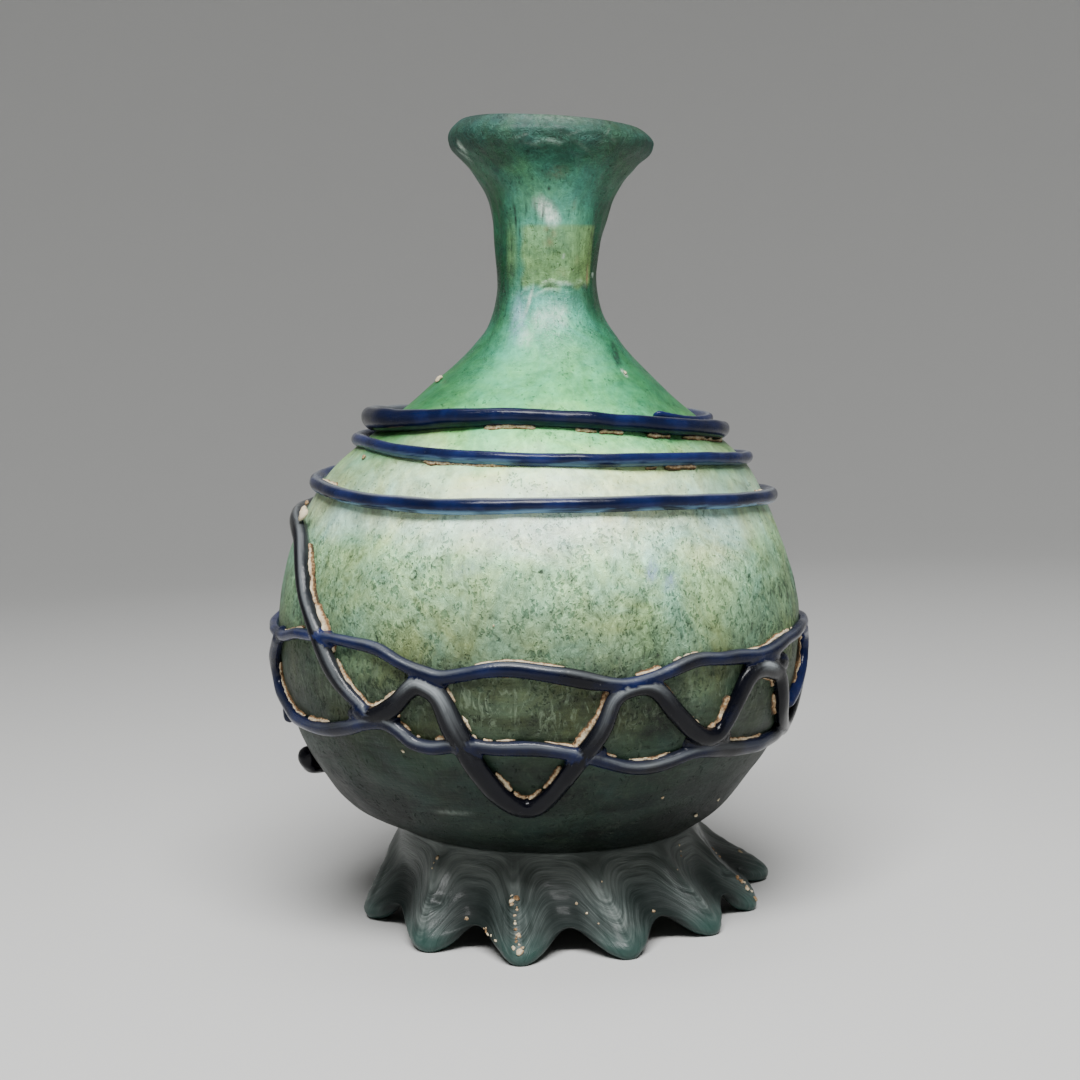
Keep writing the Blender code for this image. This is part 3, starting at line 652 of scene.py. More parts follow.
# Where the colours of the wall are those of a higher or lower place: azimuth and half
# width in degrees, height and half height, and how much higher, in millimetres.
LEVEL_SHIFTS = (
    (0, 34, 76, 12, 2.2), (23, 9, 41, 5, -4), (-1, 9, 35, 4, -3), (-22, 6, 42, 4, 2.5),
    (37, 7, 47, 4, 3), (-62, 9, 50, 6, -2.5), (41, 13, 64, 9, 5.2), (-41, 7, 50, 4, 1.8),
)
# What the wall's glass reads at each height, as (heights, values).
BY_HEIGHT = {
    "worn": ((38, 44, 50, 56, 64, 70, 76, 82, 90, 96, 110),
             (0.15, 0.4, 0.8, 1, 1, 0.85, 0.5, 0.28, 0.24, 0.16, 0.12)),
    "drawn": ((104, 114, 140, 147), (0.1, 1, 1, 0.5)),
    "thrown": ((14, 18, 42, 52, 58, 86, 94, 104, 112), (1, 1, 0.8, 0.25, 0, 0.04, 0.2, 0.28, 0)),
    "matt": ((14, 30, 46, 54, 66, 80, 96, 112, 124, 140, 150),
             (0.46, 0.52, 0.46, 0.46, 0.46, 0.36, 0.34, 0.3, 0.28, 0.38, 0.62)),
    # clear: how strongly painted shade, darker and greener, lies on the flanks at each height.
    "clear": ((20, 30, 50, 60, 76, 84, 92, 104, 112, 122, 134, 142, 147),
              (0.8, 0.6, 0.35, 0.34, 0.38, 0.7, 0.82, 0.84, 0.9, 1, 0.9, 0.5, 0.2)),
    "wispy": ((36, 42, 47, 53, 57), (0.1, 0.35, 1, 0.9, 0)),
    "swirled": ((98, 108, 128, 138, 143, 150), (0, 0.35, 0.2, 0.5, 1, 0.7)),
}
LEVEL_DRIFT = ((40, 60, 96, 104), (0, 1.1, 1.1, 0.44))       # mm by which the level wanders
# The yellow-green patch on the neck: azimuths and heights of its edges.
NECK_PATCH = ((-29.0, 56.0), (119.4, 130.3))
PATCH_STRENGTH = 0.74
# Painted shade: azimuths over which the wall is made darker and greener towards the flanks, and
# behind, over which that eases again by a share.
FLANK, BEHIND, BEHIND_SHARE = (12, 62), (92, 135), 0.6

# Creases and ridges of the neck and rim, as (points (azimuth, height), half
# width, how far they stand out; below 0 they are sunk).
CREASES = (
    (((-32, 117.3), (-22, 118.4), (-10, 118.9), (4, 119.6), (20, 119.2), (36, 119.7), (50, 119.2)),
     0.42, 0.3),
    (((-30, 116.4), (-20, 117.2), (-8, 117.6), (4, 118.3), (18, 118.1)), 0.34, 0.2),
    (((-32, 117.8), (-14, 118), (4, 118.9), (30, 118.6)), 0.3, -0.16),
    (((-24, 146.2), (-14, 145.2), (-6, 145.8), (4, 145), (12, 145.4)), 0.36, -0.24),
    (((-22, 144.9), (-12, 144.1), (-2, 144.6), (8, 144)), 0.34, 0.18),
    (((0, 143.6), (8, 143.9), (18, 142.6), (30, 142.9), (40, 141.9)), 0.34, -0.2),
    (((-18, 143.4), (-8, 142.7), (2, 143), (12, 141.8)), 0.32, -0.18),
    (((2, 146.4), (12, 145.8), (22, 146.3), (34, 145.4)), 0.32, -0.2),
    (((14, 144.6), (24, 144.2), (34, 143.2)), 0.3, 0.16),
    (((30, 147.6), (40, 146.4), (48, 146.9)), 0.3, -0.18),
    (((-60, 142.2), (-44, 141.4), (-30, 141.8)), 0.4, -0.14),
)
BROKEN_FROM = 125.0          # height from which the creases come and go
MM_PER_DEGREE = 0.18         # round the neck and rim, for the creases' own wobble
CREASE_WOBBLE = 0.12         # millimetres
CREASE_ENDS = (2, 5)         # degrees outside and inside its ends over which a crease fades
CREST_GAIN = 4.0             # from how far a ridge stands out to how much it is worn
RIDGE_WEAR, CREASE_DARKENING = 0.22, 0.45        # how pale the ridges are, how dark the creases
# The wall's gentle unevenness, as (depth, wavelength, seed), and the ridges brushed
# down the neck: the same, how far they are drawn out, and where they show.
UNEVEN = ((0.20, 36.0, 5), (0.09, 11.0, 6))
BRUSHED, BRUSHED_STRETCH = (0.07, 3.2, 7), (1.0, 1.0, 0.12)
BRUSHED_HEIGHTS = ((104, 116, 144, 150), (0, 1, 1, 0))
EVEN_BELOW = (14, 20)        # heights over which the unevenness sets in


def marks(azimuth, height, field):
    """How strongly the marks of one kind show at places on the wall."""
    total = np.zeros(azimuth.shape)
    soft, rows = MARKS[field]
    for middle, level, half_width, half_height, slant, strength in rows:
        turn = gap_between(azimuth, middle)
        across, up = np.radians(turn) * wall_radius(level), height - level
        cos, sin = math.cos(math.radians(slant)), math.sin(math.radians(slant))
        reach = np.hypot((across * cos + up * sin) / half_width,
                         (up * cos - across * sin) / half_height)
        shown = strength * step(1 + soft - reach, 0, 2 * soft) * (np.abs(turn) < MARKS_REACH)
        total = np.maximum(total, shown)
    return total


def creases(azimuth, height):
    """How far the creases stand out of the wall."""
    total = np.zeros(azimuth.shape)
    turn = gap_between(azimuth, 0.0)
    for i, (points, half_width, depth) in enumerate(CREASES):
        line = curve(points, 6)
        wobble = ripples(np.stack([turn * MM_PER_DEGREE, 0 * turn], 1), 4.5, 50 + i)
        level = np.interp(turn, line[:, 0], line[:, 1]) + CREASE_WOBBLE * wobble
        first, last = points[0][0], points[-1][0]
        out, into = CREASE_ENDS
        inside = step(turn, first - out, first + into) * (1 - step(turn, last - into, last + out))
        whole = 1 + 0.35 * wobble
        if points[0][1] > BROKEN_FROM:
            whole = np.clip(0.45 + 0.9 * wobble, 0, 1.3)
        total = total + depth * whole * bell(height, level, half_width) * inside
    return total


def vessel_fields(azimuth, height, side, spots):
    """What the weathered-glass material reads, at every point of the vessel."""
    fields = {name: np.interp(height, *table) for name, table in BY_HEIGHT.items()}
    fields.update((name, marks(azimuth, height, name)) for name in MARKS)
    turn = gap_between(azimuth, 0.0)
    outside = side < 0.5
    fields["worn"] = np.clip(fields["worn"] + 0.12 * ripples(spots, 26.0, 3), 0, 1) * outside
    fields["wispy"] *= outside
    (left, right), (low, high) = NECK_PATCH
    ragged = 0.5 * ripples(spots, 4.0, 8)
    patch = step(turn + 3 * ragged, left - 5, left + 5) * (1 - step(turn, right - 3, right + 2)) * (
        step(height + ragged, low - 0.8, low + 0.8) * (1 - step(height, high - 0.3, high + 0.3)))
    fields["olive"] = np.maximum(fields["olive"], PATCH_STRENGTH * patch)
    # The film wears off the ridges, and the creases are made darker.
    crest = np.clip(creases(azimuth, height) * CREST_GAIN, -1, 1)
    rag = np.clip(0.7 + 0.4 * ripples(spots, 3.5, 14), 0, 1)
    fields["pale"] = np.clip(fields["pale"] + RIDGE_WEAR * rag * np.clip(crest, 0, 1), 0, 1)
    fields["dark"] = np.clip(fields["dark"] - CREASE_DARKENING * rag * np.clip(crest, -1, 0), 0, 1)
    # Painted shade: the wall is darker and greener on the flanks.
    around = np.abs(turn)
    fields["clear"] *= step(around, *FLANK) * (1 - BEHIND_SHARE * step(around, *BEHIND))
    level = height + ripples(spots, 24.0, 9) * np.interp(height, *LEVEL_DRIFT)
    for middle, half_turn, rung, half_height, lift in LEVEL_SHIFTS:
        level = level + lift * bell(gap_between(azimuth, middle), 0, half_turn) * (
            bell(height, rung, half_height))
    fields["level"] = level / HEIGHT_SPAN
    return fields


def make_vessel(material):
    section = profile()
    ends, rings = section[[0, -1]], section[1:-1]
    radius, height, side = (np.repeat(column, COLUMNS) for column in rings.T)
    turn = np.tile(np.arange(COLUMNS) * 360.0 / COLUMNS, len(rings))
    spots = place(turn, radius, height)
    push = sum(depth * ripples(spots, length, seed) for depth, length, seed in UNEVEN)
    depth, length, seed = BRUSHED
    push = push + depth * np.interp(height, *BRUSHED_HEIGHTS) * (
        ripples(spots * BRUSHED_STRETCH, length, seed))
    push = push * np.interp(height, EVEN_BELOW, (0, 1)) + creases(turn, height) * (side < 0.5)
    points = spots + unit(spots - place(0.0, 0.0, height)) * push[:, None]
    # Fans close the underside and the floor.
    faces = ring_faces(len(rings), COLUMNS)
    first = len(points)
    top = first - COLUMNS
    for k in range(COLUMNS):
        n = (k + 1) % COLUMNS
        faces += [(first, n, k), (first + 1, top + k, top + n)]
    points = np.concatenate([points, place(0.0, 0.0, ends[:, 1])])
    fields = vessel_fields(np.append(turn, (0, 0)), np.append(height, ends[:, 1]),
                           np.append(side, ends[:, 2]), points)
    return build("vessel", points, faces, material, fields)


# ---------------------------------------------------------------------- foot
FOOT_COLUMNS = 480
FOOT_SPACING = 0.42
RIDGE = 1.1                  # how far a toe's ridge stands out of the skirt
VALLEY = 1.5                 # how far the skirt sinks between the toes
# Dents in the toes: azimuth, share of the way down, half sizes of both, depth.
DENTS = ((-40, 0.25, 2.2, 0.02, 0.8), (71, 0.27, 2, 0.018, 0.7), (16.5, 0.35, 2, 0.02, 0.5))
FLOW_DIP = 6.0               # how far the flow lines dip down each toe
FLOW_SLOWNESS = 2.6          # how slowly the flow lines change round the foot
TIP_TOP, TIP_FADE = 5.0, 3.5                # height where the tips' colour begins, and its fade
BOUNCE = ((0.045, 1.6, 21), (0.035, 4.5, 22))        # relief of the flow lines, like UNEVEN
# How the skirt changes down its section, as (shares of the way down, values). A toe
# is narrow where it leaves the junction and widens to a stout pad.
DOWN_SKIRT = {
    "narrow": ((0, 0.15, 0.34, 0.5, 1), (1.9, 1.7, 1.1, 0.85, 0.9)),
    "outer": ((0.02, 0.14, 0.3, 0.42, 0.5), (0, 1, 1, 0.4, 0)),
    "lower": ((0.08, 0.24, 0.34, 0.42, 0.5), (0, 0.7, 1, 0.4, 0)),
    "bounce": ((0.4, 0.5), (1, 0.4)),
    # Where down the skirt the valleys between the toes get painted shade.
    "shaded_valley": ((0.13, 0.3, 0.5, 0.6), (0, 1, 1, 0.5)),
    "ridge": ((0.02, 0.1, 0.4, 0.5), (0.4, 1, 1, 0)),
    # Where down the skirt the upper skirt gets painted light.
    "skirt_painted_light": ((0, 0.03, 0.12, 0.24), (0.3, 0.62, 0.52, 0)),
}


def toe_turns():
    """Azimuth, tip radius and place between toes (0 on a toe), round the foot."""
    toes = np.array(TOES)
    share = np.arange(FOOT_COLUMNS) * len(TOES) / FOOT_COLUMNS
    near = share.astype(int)
    part = share - near
    start, end = toes[near], toes[(near + 1) % len(TOES)]
    azimuth = start[:, 0] + part * ((end[:, 0] - start[:, 0]) % 360.0)
    return azimuth, start[:, 1] + step(part, 0, 1) * (end[:, 1] - start[:, 1]), part


def foot_grid():
    """Points and normals of the skirt's sections, and what its glass reads."""
    stations = curve(SKIRT, 16)
    lengths, marks = spaced((stations[:, :2] + stations[:, 2:4]) / 2, FOOT_SPACING)
    toe_radius, toe_height, arch_radius, arch_height, leaning = (
        column[:, None] for column in at_lengths(stations, lengths, marks).T)
    down = marks / marks[-1]
    by = {name: np.interp(down, *table)[:, None] for name, table in DOWN_SKIRT.items()}
    azimuth, tip, part = toe_turns()
    near_toe = (0.5 + 0.5 * np.cos(2 * np.pi * part))[None]
    toe = near_toe ** by["narrow"]
    reach = np.clip((toe_radius - SKIRT_ROOT) / (TIP_RADIUS - SKIRT_ROOT), 0, None)
    toe_radius = toe_radius + reach * (tip - TIP_RADIUS)[None]
    radius = arch_radius + toe * (toe_radius - arch_radius)
    height = arch_height + toe * (toe_height - arch_height)
    drop = np.clip(1.0 - height / BASE_HEIGHT, 0, 1)
    angle = np.radians(azimuth)[None]
    x, y = (top + drop * (ring - top) for top, ring in zip(FOOT_TOP_CENTRE, FOOT_RING_CENTRE))
    upright = np.stack([x + radius * np.sin(angle), y - radius * np.cos(angle), height], -1)
    grid = upright + leaning[..., None] * (place(azimuth, radius, height) - upright)
    normal = unit(np.cross(np.gradient(grid, axis=0), np.roll(grid, -1, 1) - np.roll(grid, 1, 1)))
    # Flow lines run round the arches and dip down every toe.
    dip = FLOW_DIP * near_toe ** 2.2 * np.interp(marks, (0.8, 8), (0.08, 1))[:, None]
    flow = marks[:, None] - dip
    turn_x = FLOW_SLOWNESS * np.sin(angle) + 0 * flow
    turn_y = FLOW_SLOWNESS * np.cos(angle) + 0 * flow
    drape = np.stack([flow, turn_x, turn_y], -1).reshape(-1, 3)
    bounce = sum(depth * ripples(drape, length, seed) for depth, length, seed in BOUNCE)
    ends = np.interp(marks, (0, 2, marks[-1] - 3, marks[-1]), (0, 1, 1, 0))[:, None]
    push = (by["outer"] * RIDGE * near_toe ** 7 - by["lower"] * VALLEY * (1 - near_toe) ** 1.6
            + by["bounce"] * ends * bounce.reshape(flow.shape))
    for middle, share, half_turn, half_share, depth in DENTS:
        push = push - depth * bell(gap_between(azimuth, middle), 0, half_turn)[None] * (
            bell(down, share, half_share)[:, None])
    grid = grid + normal * push[..., None]
    grid[..., 2] = np.maximum(grid[..., 2], 0.0)
    fields = {
        "flow": flow, "turn_x": turn_x, "turn_y": turn_y,
        "tip": (np.clip((TIP_TOP - grid[..., 2]) / TIP_FADE, 0, 1)
                * np.clip(near_toe * 1.6 - 0.3, 0, 1)),
        # Painted shade in the valleys, and painted light on the upper skirt.
        "shaded_valley": by["shaded_valley"] * np.clip(1.25 - near_toe * 1.5, 0, 1),
        "ridge": by["ridge"] * near_toe ** 2.5, "skirt_painted_light": by["skirt_painted_light"] + 0 * near_toe,
    }
    return grid, normal, azimuth, down, fields


# ------------------------------------------------------------------- threads
THREAD_SPACING = 0.7
SECTION_POINTS = 14
SUNK = 0.35                  # how far a thread's underside lies in the wall
# Unevenness of a thread's width, rise and line, as (share or size, wavelength).
WIDTH_UNEVEN, RISE_UNEVEN, LINE_UNEVEN = (0.07, 13.0), (0.06, 10.0), (0.12, 16.0)
BLUNTEST = 0.06              # of its half width: what a loose end keeps at its very tip
# The melting: voxel size, how hard and often it is smoothed, share of faces kept.
VOXEL = 0.30
SOFTENING = {"factor": 0.5, "iterations": 5}
KEPT_FACES = 0.34
THREAD_GAP = 400.0           # from one thread's places along it to the next one's
FLESH = (0.4, 0.55)          # width and rise that the melting takes off again
# Where threads melt together: (azimuth, height, half width, half height, rise). Those
# behind are all alike.
WEBS = (
    (-36.5, 43.4, 6.2, 2.3, 1.6), (-22, 50.7, 3.6, 1.7, 1.9), (-15.5, 40.4, 2.6, 1.8, 1.5),
    (18.5, 50.5, 3.4, 1.4, 1.8), (11, 38.6, 2.8, 1.7, 1.5), (38.5, 39, 6, 2.7, 1.6),
    (53, 52.2, 5.4, 2.5, 2), (-48, 56, 2.2, 1.9, 1.7), (-1.4, 28.9, 2.6, 1.2, 2),
    (60.5, 50.6, 2.8, 2.2, 1.6), (72, 37.4, 2.8, 1.8, 1.5),
    *((azimuth, 50.6, 2.8, 1.6, 1.6) for azimuth in (127, 163, 199, 234)),
    (-71, 54.8, 2, 1.6, 1.3),
)
WEB_SECTION = ((1, None), (1, 0), (0.93, 0.42), (0.72, 0.78), (0.36, 0.96))    # (reach, lift)
WEB_POINTS = 20
# How deep the coil's glass is: azimuths along it, and how deep.
COIL_DEEP = ((1290, 1350), (0.4, 1.7))
# Painted sheen: a pale film painted along the tops of the threads, as azimuths and how thick, and
# on the humps of the zigzag, as azimuth and half width.
COIL_SHEEN = ((680, 720, 760, 1020, 1070, 1120, 1200), (0.6, 1, 0.6, 0.6, 1, 0.6, 0.5))
BELT_SHEEN = ((-80, -60, -44, -28, -12, 14, 24, 40, 75, 100),
             (0.1, 0.15, 0.3, 0.6, 0.35, 0.4, 0.6, 0.25, 0.15, 0.1))
HUMP_SHEEN = ((-22, 3.6), (18.5, 4), (52, 2.4), (88, 4), (120, 4), (172, 4), (228, 4))
# Across a thread, in shares of its width: middle and half width of the painted sheen on the fine
# threads and on the humps, and from where to where light shows at the lower edge.
SHEEN_BAND, HUMP_BAND, FRINGE = (-0.38, 0.13), (-0.22, 0.20), (0.43, 0.54)
HUMP_STRENGTH = 1.4
CLEAREST, DEEPEST = 1.6, 3.8                # widths of thread with the clearest and deepest glass
LEAST_DEEP = 0.07
ALONG_SCALE, ACROSS_SCALE = 0.08, 1.6       # how finely its material changes along and across
# Where light comes through the coil's lower edge: azimuths along it, and how much.
LIT_EDGE = ((560, 600, 660, 700, 800, 960, 1030, 1180, 1240),
            (0, 0.4, 0.2, 0.6, 0, 0, 0.9, 0.8, 0.3))


class Thread:
    """A thread's line on the wall: places, directions and size at even steps."""

    def __init__(self, waypoints, size, seed, share=1.0, closed=False):
        fine = curve(waypoints, 24, np.array((360.0, 0.0)) if closed else None)
        lengths, marks = spaced(wall_points(*fine.T)[0], THREAD_SPACING)
        self.closed = closed
        self.marks = marks[:-1] if closed else marks
        self.azimuth, height = at_lengths(fine, lengths, self.marks).T
        self.spot, self.normal = wall_points(self.azimuth, height)
        ahead = np.gradient(self.spot, axis=0)
        if closed:
            ahead = np.roll(self.spot, -1, 0) - np.roll(self.spot, 1, 0)
        self.side = unit(np.cross(ahead, self.normal))
        azimuths, widths, rises = np.array(size).T
        # Hand-made unevenness in width, height and line.
        wide, high, wobble = (
            much * share * ripples(self.spot, length, seed + i)
            for i, (much, length) in enumerate((WIDTH_UNEVEN, RISE_UNEVEN, LINE_UNEVEN)))
        self.width = np.interp(self.azimuth, azimuths, widths) * (1 + wide)
        self.rise = np.interp(self.azimuth, azimuths, rises) * (1 + high)
        self.spot = self.spot + self.side * wobble[:, None]

    def skin(self):
        """Points and faces of the thread's closed skin."""
        angle = round_angles(SECTION_POINTS)
        width, rise = self.width + FLESH[0], self.rise + FLESH[1] + SUNK
        if not self.closed:
            distance = np.minimum(self.marks, self.marks[-1] - self.marks)
            blunt = np.clip(distance / (width / 2), BLUNTEST, 1)
            blunt = np.sqrt(1 - (1 - blunt) ** 2)
            width, rise = width * blunt, SUNK + (rise - SUNK) * blunt
        across = width[:, None] * np.cos(angle) / 2
        above = rise[:, None] * (0.5 + np.sin(angle) / 2) - SUNK
        rings = (self.spot[:, None] + self.side[:, None] * across[..., None]
                 + self.normal[:, None] * above[..., None])
        faces = ring_faces(len(rings), SECTION_POINTS, self.closed, not self.closed)
        return rings.reshape(-1, 3), faces

    def nearest(self, azimuth, height):
        """Index of the thread's step nearest to a place on the wall."""
        target = place(azimuth, wall_radius(height), height)
        away = np.linalg.norm(self.spot - target, axis=1) + 0.02 * np.abs(self.azimuth - azimuth)
        return int(np.argmin(away))


def zigzag_waypoints():
    """Every V and shelf in turn, and the tail that curls out of the last V."""
    points = list(ZIGZAG_START)
    last = len(DEEP_V) - 1
    for i, (middle, bottom) in enumerate(DEEP_V):
        right = DEEP_V[i + 1][0] - middle if i < last else 0.0
        left = middle - DEEP_V[i - 1][0] if i else V_SPACING
        depth = (SHELF_HEIGHT - bottom) / (SHELF_HEIGHT - V_DEPTH)
        for offset, height in WAVE:
            if i == last and offset > 0:
                break
            if abs(offset) < WAVE_ARMS or offset < 0:
                height = SHELF_HEIGHT - depth * (SHELF_HEIGHT - height)
            points.append((middle + offset * (left if offset < 0 else right) / V_SPACING, height))
    return points + list(ZIGZAG_END)


def upper_waypoints():
    back = [(middle + offset, height) for middle, _ in DEEP_V[2:4] for offset, height in UPPER_WAVE]
    return [*UPPER_FRONT, *back, UPPER_LAST]


def lower_back_waypoints():
    turns = np.linspace(0.0, 1.0, LOWER_BACK_KNOTS + 1)
    heights = LOWER_HEIGHT - LOWER_SWAY * np.cos(math.tau * LOWER_SWAYS * turns)
    return list(zip(np.linspace(*LOWER_BACK_SPAN, LOWER_BACK_KNOTS + 1), heights))


def lay_threads():
    return {
        "coil": Thread(COIL, COIL_SIZE, 31, share=0.5),
        "zigzag": Thread(zigzag_waypoints(), ZIGZAG_SIZE, 34),
        "upper": Thread(upper_waypoints(), UPPER_SIZE, 37, closed=True),
        "lower": Thread(LOWER_FRONT, LOWER_SIZE, 40),
        "strand": Thread(RIGHT_STRAND, FINE_SIZE, 43),
        "lower_back": Thread(lower_back_waypoints(), FINE_SIZE, 46),
    }


def web(azimuth, height, half_width, half_height, rise):
    """Points and faces of a low closed dome on the wall."""
    angle = round_angles(WEB_POINTS)
    rings = []
    for reach, lift in WEB_SECTION:
        turn = np.degrees(reach * half_width * np.cos(angle) / wall_radius(height))
        spot, normal = wall_points(azimuth + turn, height + reach * half_height * np.sin(angle))
        rings.append(spot + normal * (-SUNK if lift is None else lift * rise))
    return np.concatenate(rings), ring_faces(len(rings), WEB_POINTS, capped=True)


def make_threads(threads, material):
    """All threads melted into one skin, softly filleted where they cross."""
    shells = [t.skin() for t in threads.values()] + [web(*row) for row in WEBS]
    obj = build("trailed_threads", *joined(shells), material)
    for name, kind, settings in (("melt", "REMESH", {"mode": "VOXEL", "voxel_size": VOXEL * MM}),
                                 ("soften", "SMOOTH", SOFTENING),
                                 ("thin", "DECIMATE", {"ratio": KEPT_FACES})):
        modifier = obj.modifiers.new(name, kind)
        for key, value in settings.items():
            setattr(modifier, key, value)
    melted = obj.evaluated_get(bpy.context.evaluated_depsgraph_get())
    mesh = bpy.data.meshes.new_from_object(melted)
    obj.modifiers.clear()
    obj.data = mesh
    mesh.shade_smooth()
    write_fields(mesh, thread_fields(mesh, threads))
    return obj


def thread_fields(mesh, threads):
    """Place along and across the nearest thread, how deep its glass is, and the painted sheen on
    its top.
    """
    rows = []
    for i, (name, t) in enumerate(threads.items()):
        coil, zigzag = name == "coil", name == "zigzag"
        deep = np.clip((t.width - CLEAREST) / (DEEPEST - CLEAREST), 0, 1)
        # film is the painted sheen along the thread's top.
        film = np.interp(gap_between(t.azimuth, 0.0), *BELT_SHEEN)
        if coil:
            deep = deep * np.interp(t.azimuth, *COIL_DEEP)
            film = np.interp(t.azimuth, *COIL_SHEEN)
        rows.append(np.column_stack([
            t.spot, t.side, t.marks + THREAD_GAP * i, t.width, LEAST_DEEP + deep,
            np.interp(t.azimuth, *LIT_EDGE) * coil, film * (not zigzag),
            sum(bell(t.azimuth, *hump) for hump in HUMP_SHEEN) * zigzag]))
    rows = np.concatenate(rows)
    tree = kdtree.KDTree(len(rows))
    for i, row in enumerate(rows):
        tree.insert(row[:3], i)
    tree.balance()
    points = np.empty(len(mesh.vertices) * 3, np.float32)
    mesh.vertices.foreach_get("co", points)
    points = points.reshape(-1, 3) / MM
    near = rows[[tree.find(point)[1] for point in points]]
    across = ((points - near[:, :3]) * near[:, 3:6]).sum(1)
    along, width, deep, lit, film, hump = near[:, 6:].T
    share = across / width
    return {"along": along * ALONG_SCALE, "across": across * ACROSS_SCALE, "deep": deep,
            "fringe": step(share, *FRINGE) * lit,
            "film": bell(share, *SHEEN_BAND) * film + HUMP_STRENGTH * bell(share, *HUMP_BAND) * hump}


# -------------------------------------------------------------- burial crust
ABOVE, BELOW = -1.0, 1.0     # which side of a thread, as it runs to the right
# Seams of crust, as (thread, side, rows of (from (azimuth, height), to, width, height,
# how much of the stretch it covers, how rusty it is)).
CRUST = (
    ("coil", BELOW, (
        ((339, 91), (357, 91), 0.75, 0.6, 0.95, 0.3), ((370, 91), (377, 91), 0.6, 0.5, 0.9, 0.2),
        ((378, 90), (386, 90), 0.5, 0.5, 0.8, 0.1), ((394, 90), (405, 90), 0.7, 0.5, 0.9, 0.5),
        ((410, 89), (440, 89), 0.7, 0.6, 0.85, 0.4),
    )),
    ("coil", ABOVE, (((655, 88), (664, 88), 0.9, 1, 0.95, 0),)),
    ("coil", BELOW, (
        ((685, 86), (711, 86), 0.6, 0.5, 0.85, 0.3), ((740, 86), (752, 86), 0.4, 0.4, 0.5, 0.3),
        ((754, 86), (766, 86), 0.6, 0.5, 0.85, 0.4),
    )),
    ("coil", ABOVE, (
        ((1004, 82), (1016, 81), 1.1, 1.1, 0.95, 0), ((1150, 81), (1160, 81), 0.9, 0.9, 0.9, 0),
        ((1376, 72), (1386, 60), 0.7, 0.7, 1, 0.2), ((1385, 61), (1393, 53), 1.5, 0.8, 1.3, 0),
        ((1393, 52), (1402, 44), 0.8, 0.6, 1, 0.3),
    )),
    ("zigzag", ABOVE, (((-40, 45), (-28, 48), 0.9, 0.7, 1, 0.1),)),
    ("zigzag", BELOW, (((-36, 43), (-30, 46), 0.9, 0.5, 0.9, 0.5),)),
    ("zigzag", ABOVE, (
        ((-20, 50), (-15, 42), 0.8, 0.6, 1, 0.2), ((-15, 42), (-12, 38), 0.9, 0.6, 0.9, 0.2),
        ((-9, 35), (-5, 31), 0.9, 0.6, 0.95, 0.2), ((-5, 31), (4, 31), 0.8, 0.7, 1, 0.3),
        ((4, 31), (8, 35), 0.9, 0.6, 0.95, 0.3), ((9, 38), (16, 49), 1.1, 0.6, 1, 0.4),
        ((22, 49), (31, 44), 0.5, 0.5, 0.7, 0.3), ((31, 44), (37, 40), 0.9, 0.6, 0.9, 0.4),
        ((37, 40), (44, 46), 1.7, 0.8, 1, 0.75),
    )),
    ("zigzag", BELOW, (
        ((52, 51), (58, 46), 0.6, 0.5, 0.8, 0.5), ((58, 45), (64, 41), 1.1, 0.6, 0.9, 0.6),
        ((44, 42), (48, 49), 0.6, 0.5, 0.8, 0.2),
    )),
    ("upper", ABOVE, (
        ((-71, 55), (-54, 56), 0.5, 0.5, 0.85, 0.1), ((-13, 53), (5, 53), 0.45, 0.5, 0.95, 0),
        ((19, 51), (34, 54), 0.6, 0.6, 0.95, 0.3), ((47, 54), (72, 56), 0.5, 0.5, 0.85, 0.1),
    )),
    ("upper", BELOW, (
        ((-44, 55), (-35, 54), 0.4, 0.4, 0.7, 0.5), ((-12, 52), (10, 50), 0.35, 0.4, 0.6, 0.6),
    )),
    ("lower", ABOVE, (
        ((-79, 50), (-62, 40), 0.4, 0.5, 1.1, 0), ((-61, 40), (-50, 41), 0.8, 0.6, 1.2, 0),
        ((-32, 42), (-27, 39), 0.7, 0.6, 0.95, 0.4), ((-27, 39), (-18, 40), 0.8, 0.7, 1, 0.2),
        ((-12, 40), (-9, 40), 0.9, 0.6, 1, 0.2), ((-9, 39), (9, 39), 0.4, 0.4, 0.7, 0.3),
        ((12, 38), (16, 36), 1, 0.7, 1, 0.2), ((19, 36), (33, 38), 0.6, 0.6, 0.95, 0.1),
        ((44, 37), (60, 37), 0.7, 0.6, 0.85, 0.2),
    )),
    ("strand", BELOW, (((78, 54), (76, 44), 0.8, 0.7, 0.95, 0.2),)),
    ("zigzag", ABOVE, (
        ((80, 44), (95, 50), 0.8, 0.6, 0.8, 0.3), ((132, 42), (147, 29), 0.8, 0.6, 0.85, 0.3),
        ((149, 29), (163, 46), 0.9, 0.6, 0.85, 0.4), ((176, 43), (186, 44), 1.1, 0.6, 0.9, 0.5),
        ((200, 44), (216, 28), 0.8, 0.6, 0.85, 0.3), ((218, 28), (230, 44), 0.9, 0.6, 0.85, 0.4),
    )),
    ("upper", ABOVE, (
        ((120, 53), (150, 55), 0.5, 0.5, 0.7, 0.2), ((190, 53), (230, 54), 0.5, 0.5, 0.7, 0.2),
    )),
    ("lower_back", ABOVE, (
        ((100, 40), (140, 40), 0.5, 0.5, 0.6, 0.3), ((180, 40), (230, 40), 0.5, 0.5, 0.6, 0.3),
    )),
    ("coil", BELOW, (
        ((470, 89), (520, 89), 0.6, 0.5, 0.6, 0.3), ((560, 88), (610, 88), 0.6, 0.5, 0.6, 0.3),
        ((820, 85), (900, 84), 0.6, 0.5, 0.6, 0.3),
    )),
)
CRUST_STEP = 0.22
SEAM = 0.60                  # share of the stated width that the crust covers
SEAM_GAP = 0.08              # from the thread's edge to the middle of its corner
SEAM_TAPER = 9               # how fast a seam begins and ends
LEAST_CRUST = 0.1            # share below which there is none
SHORTEST_SEAM = 4            # rings
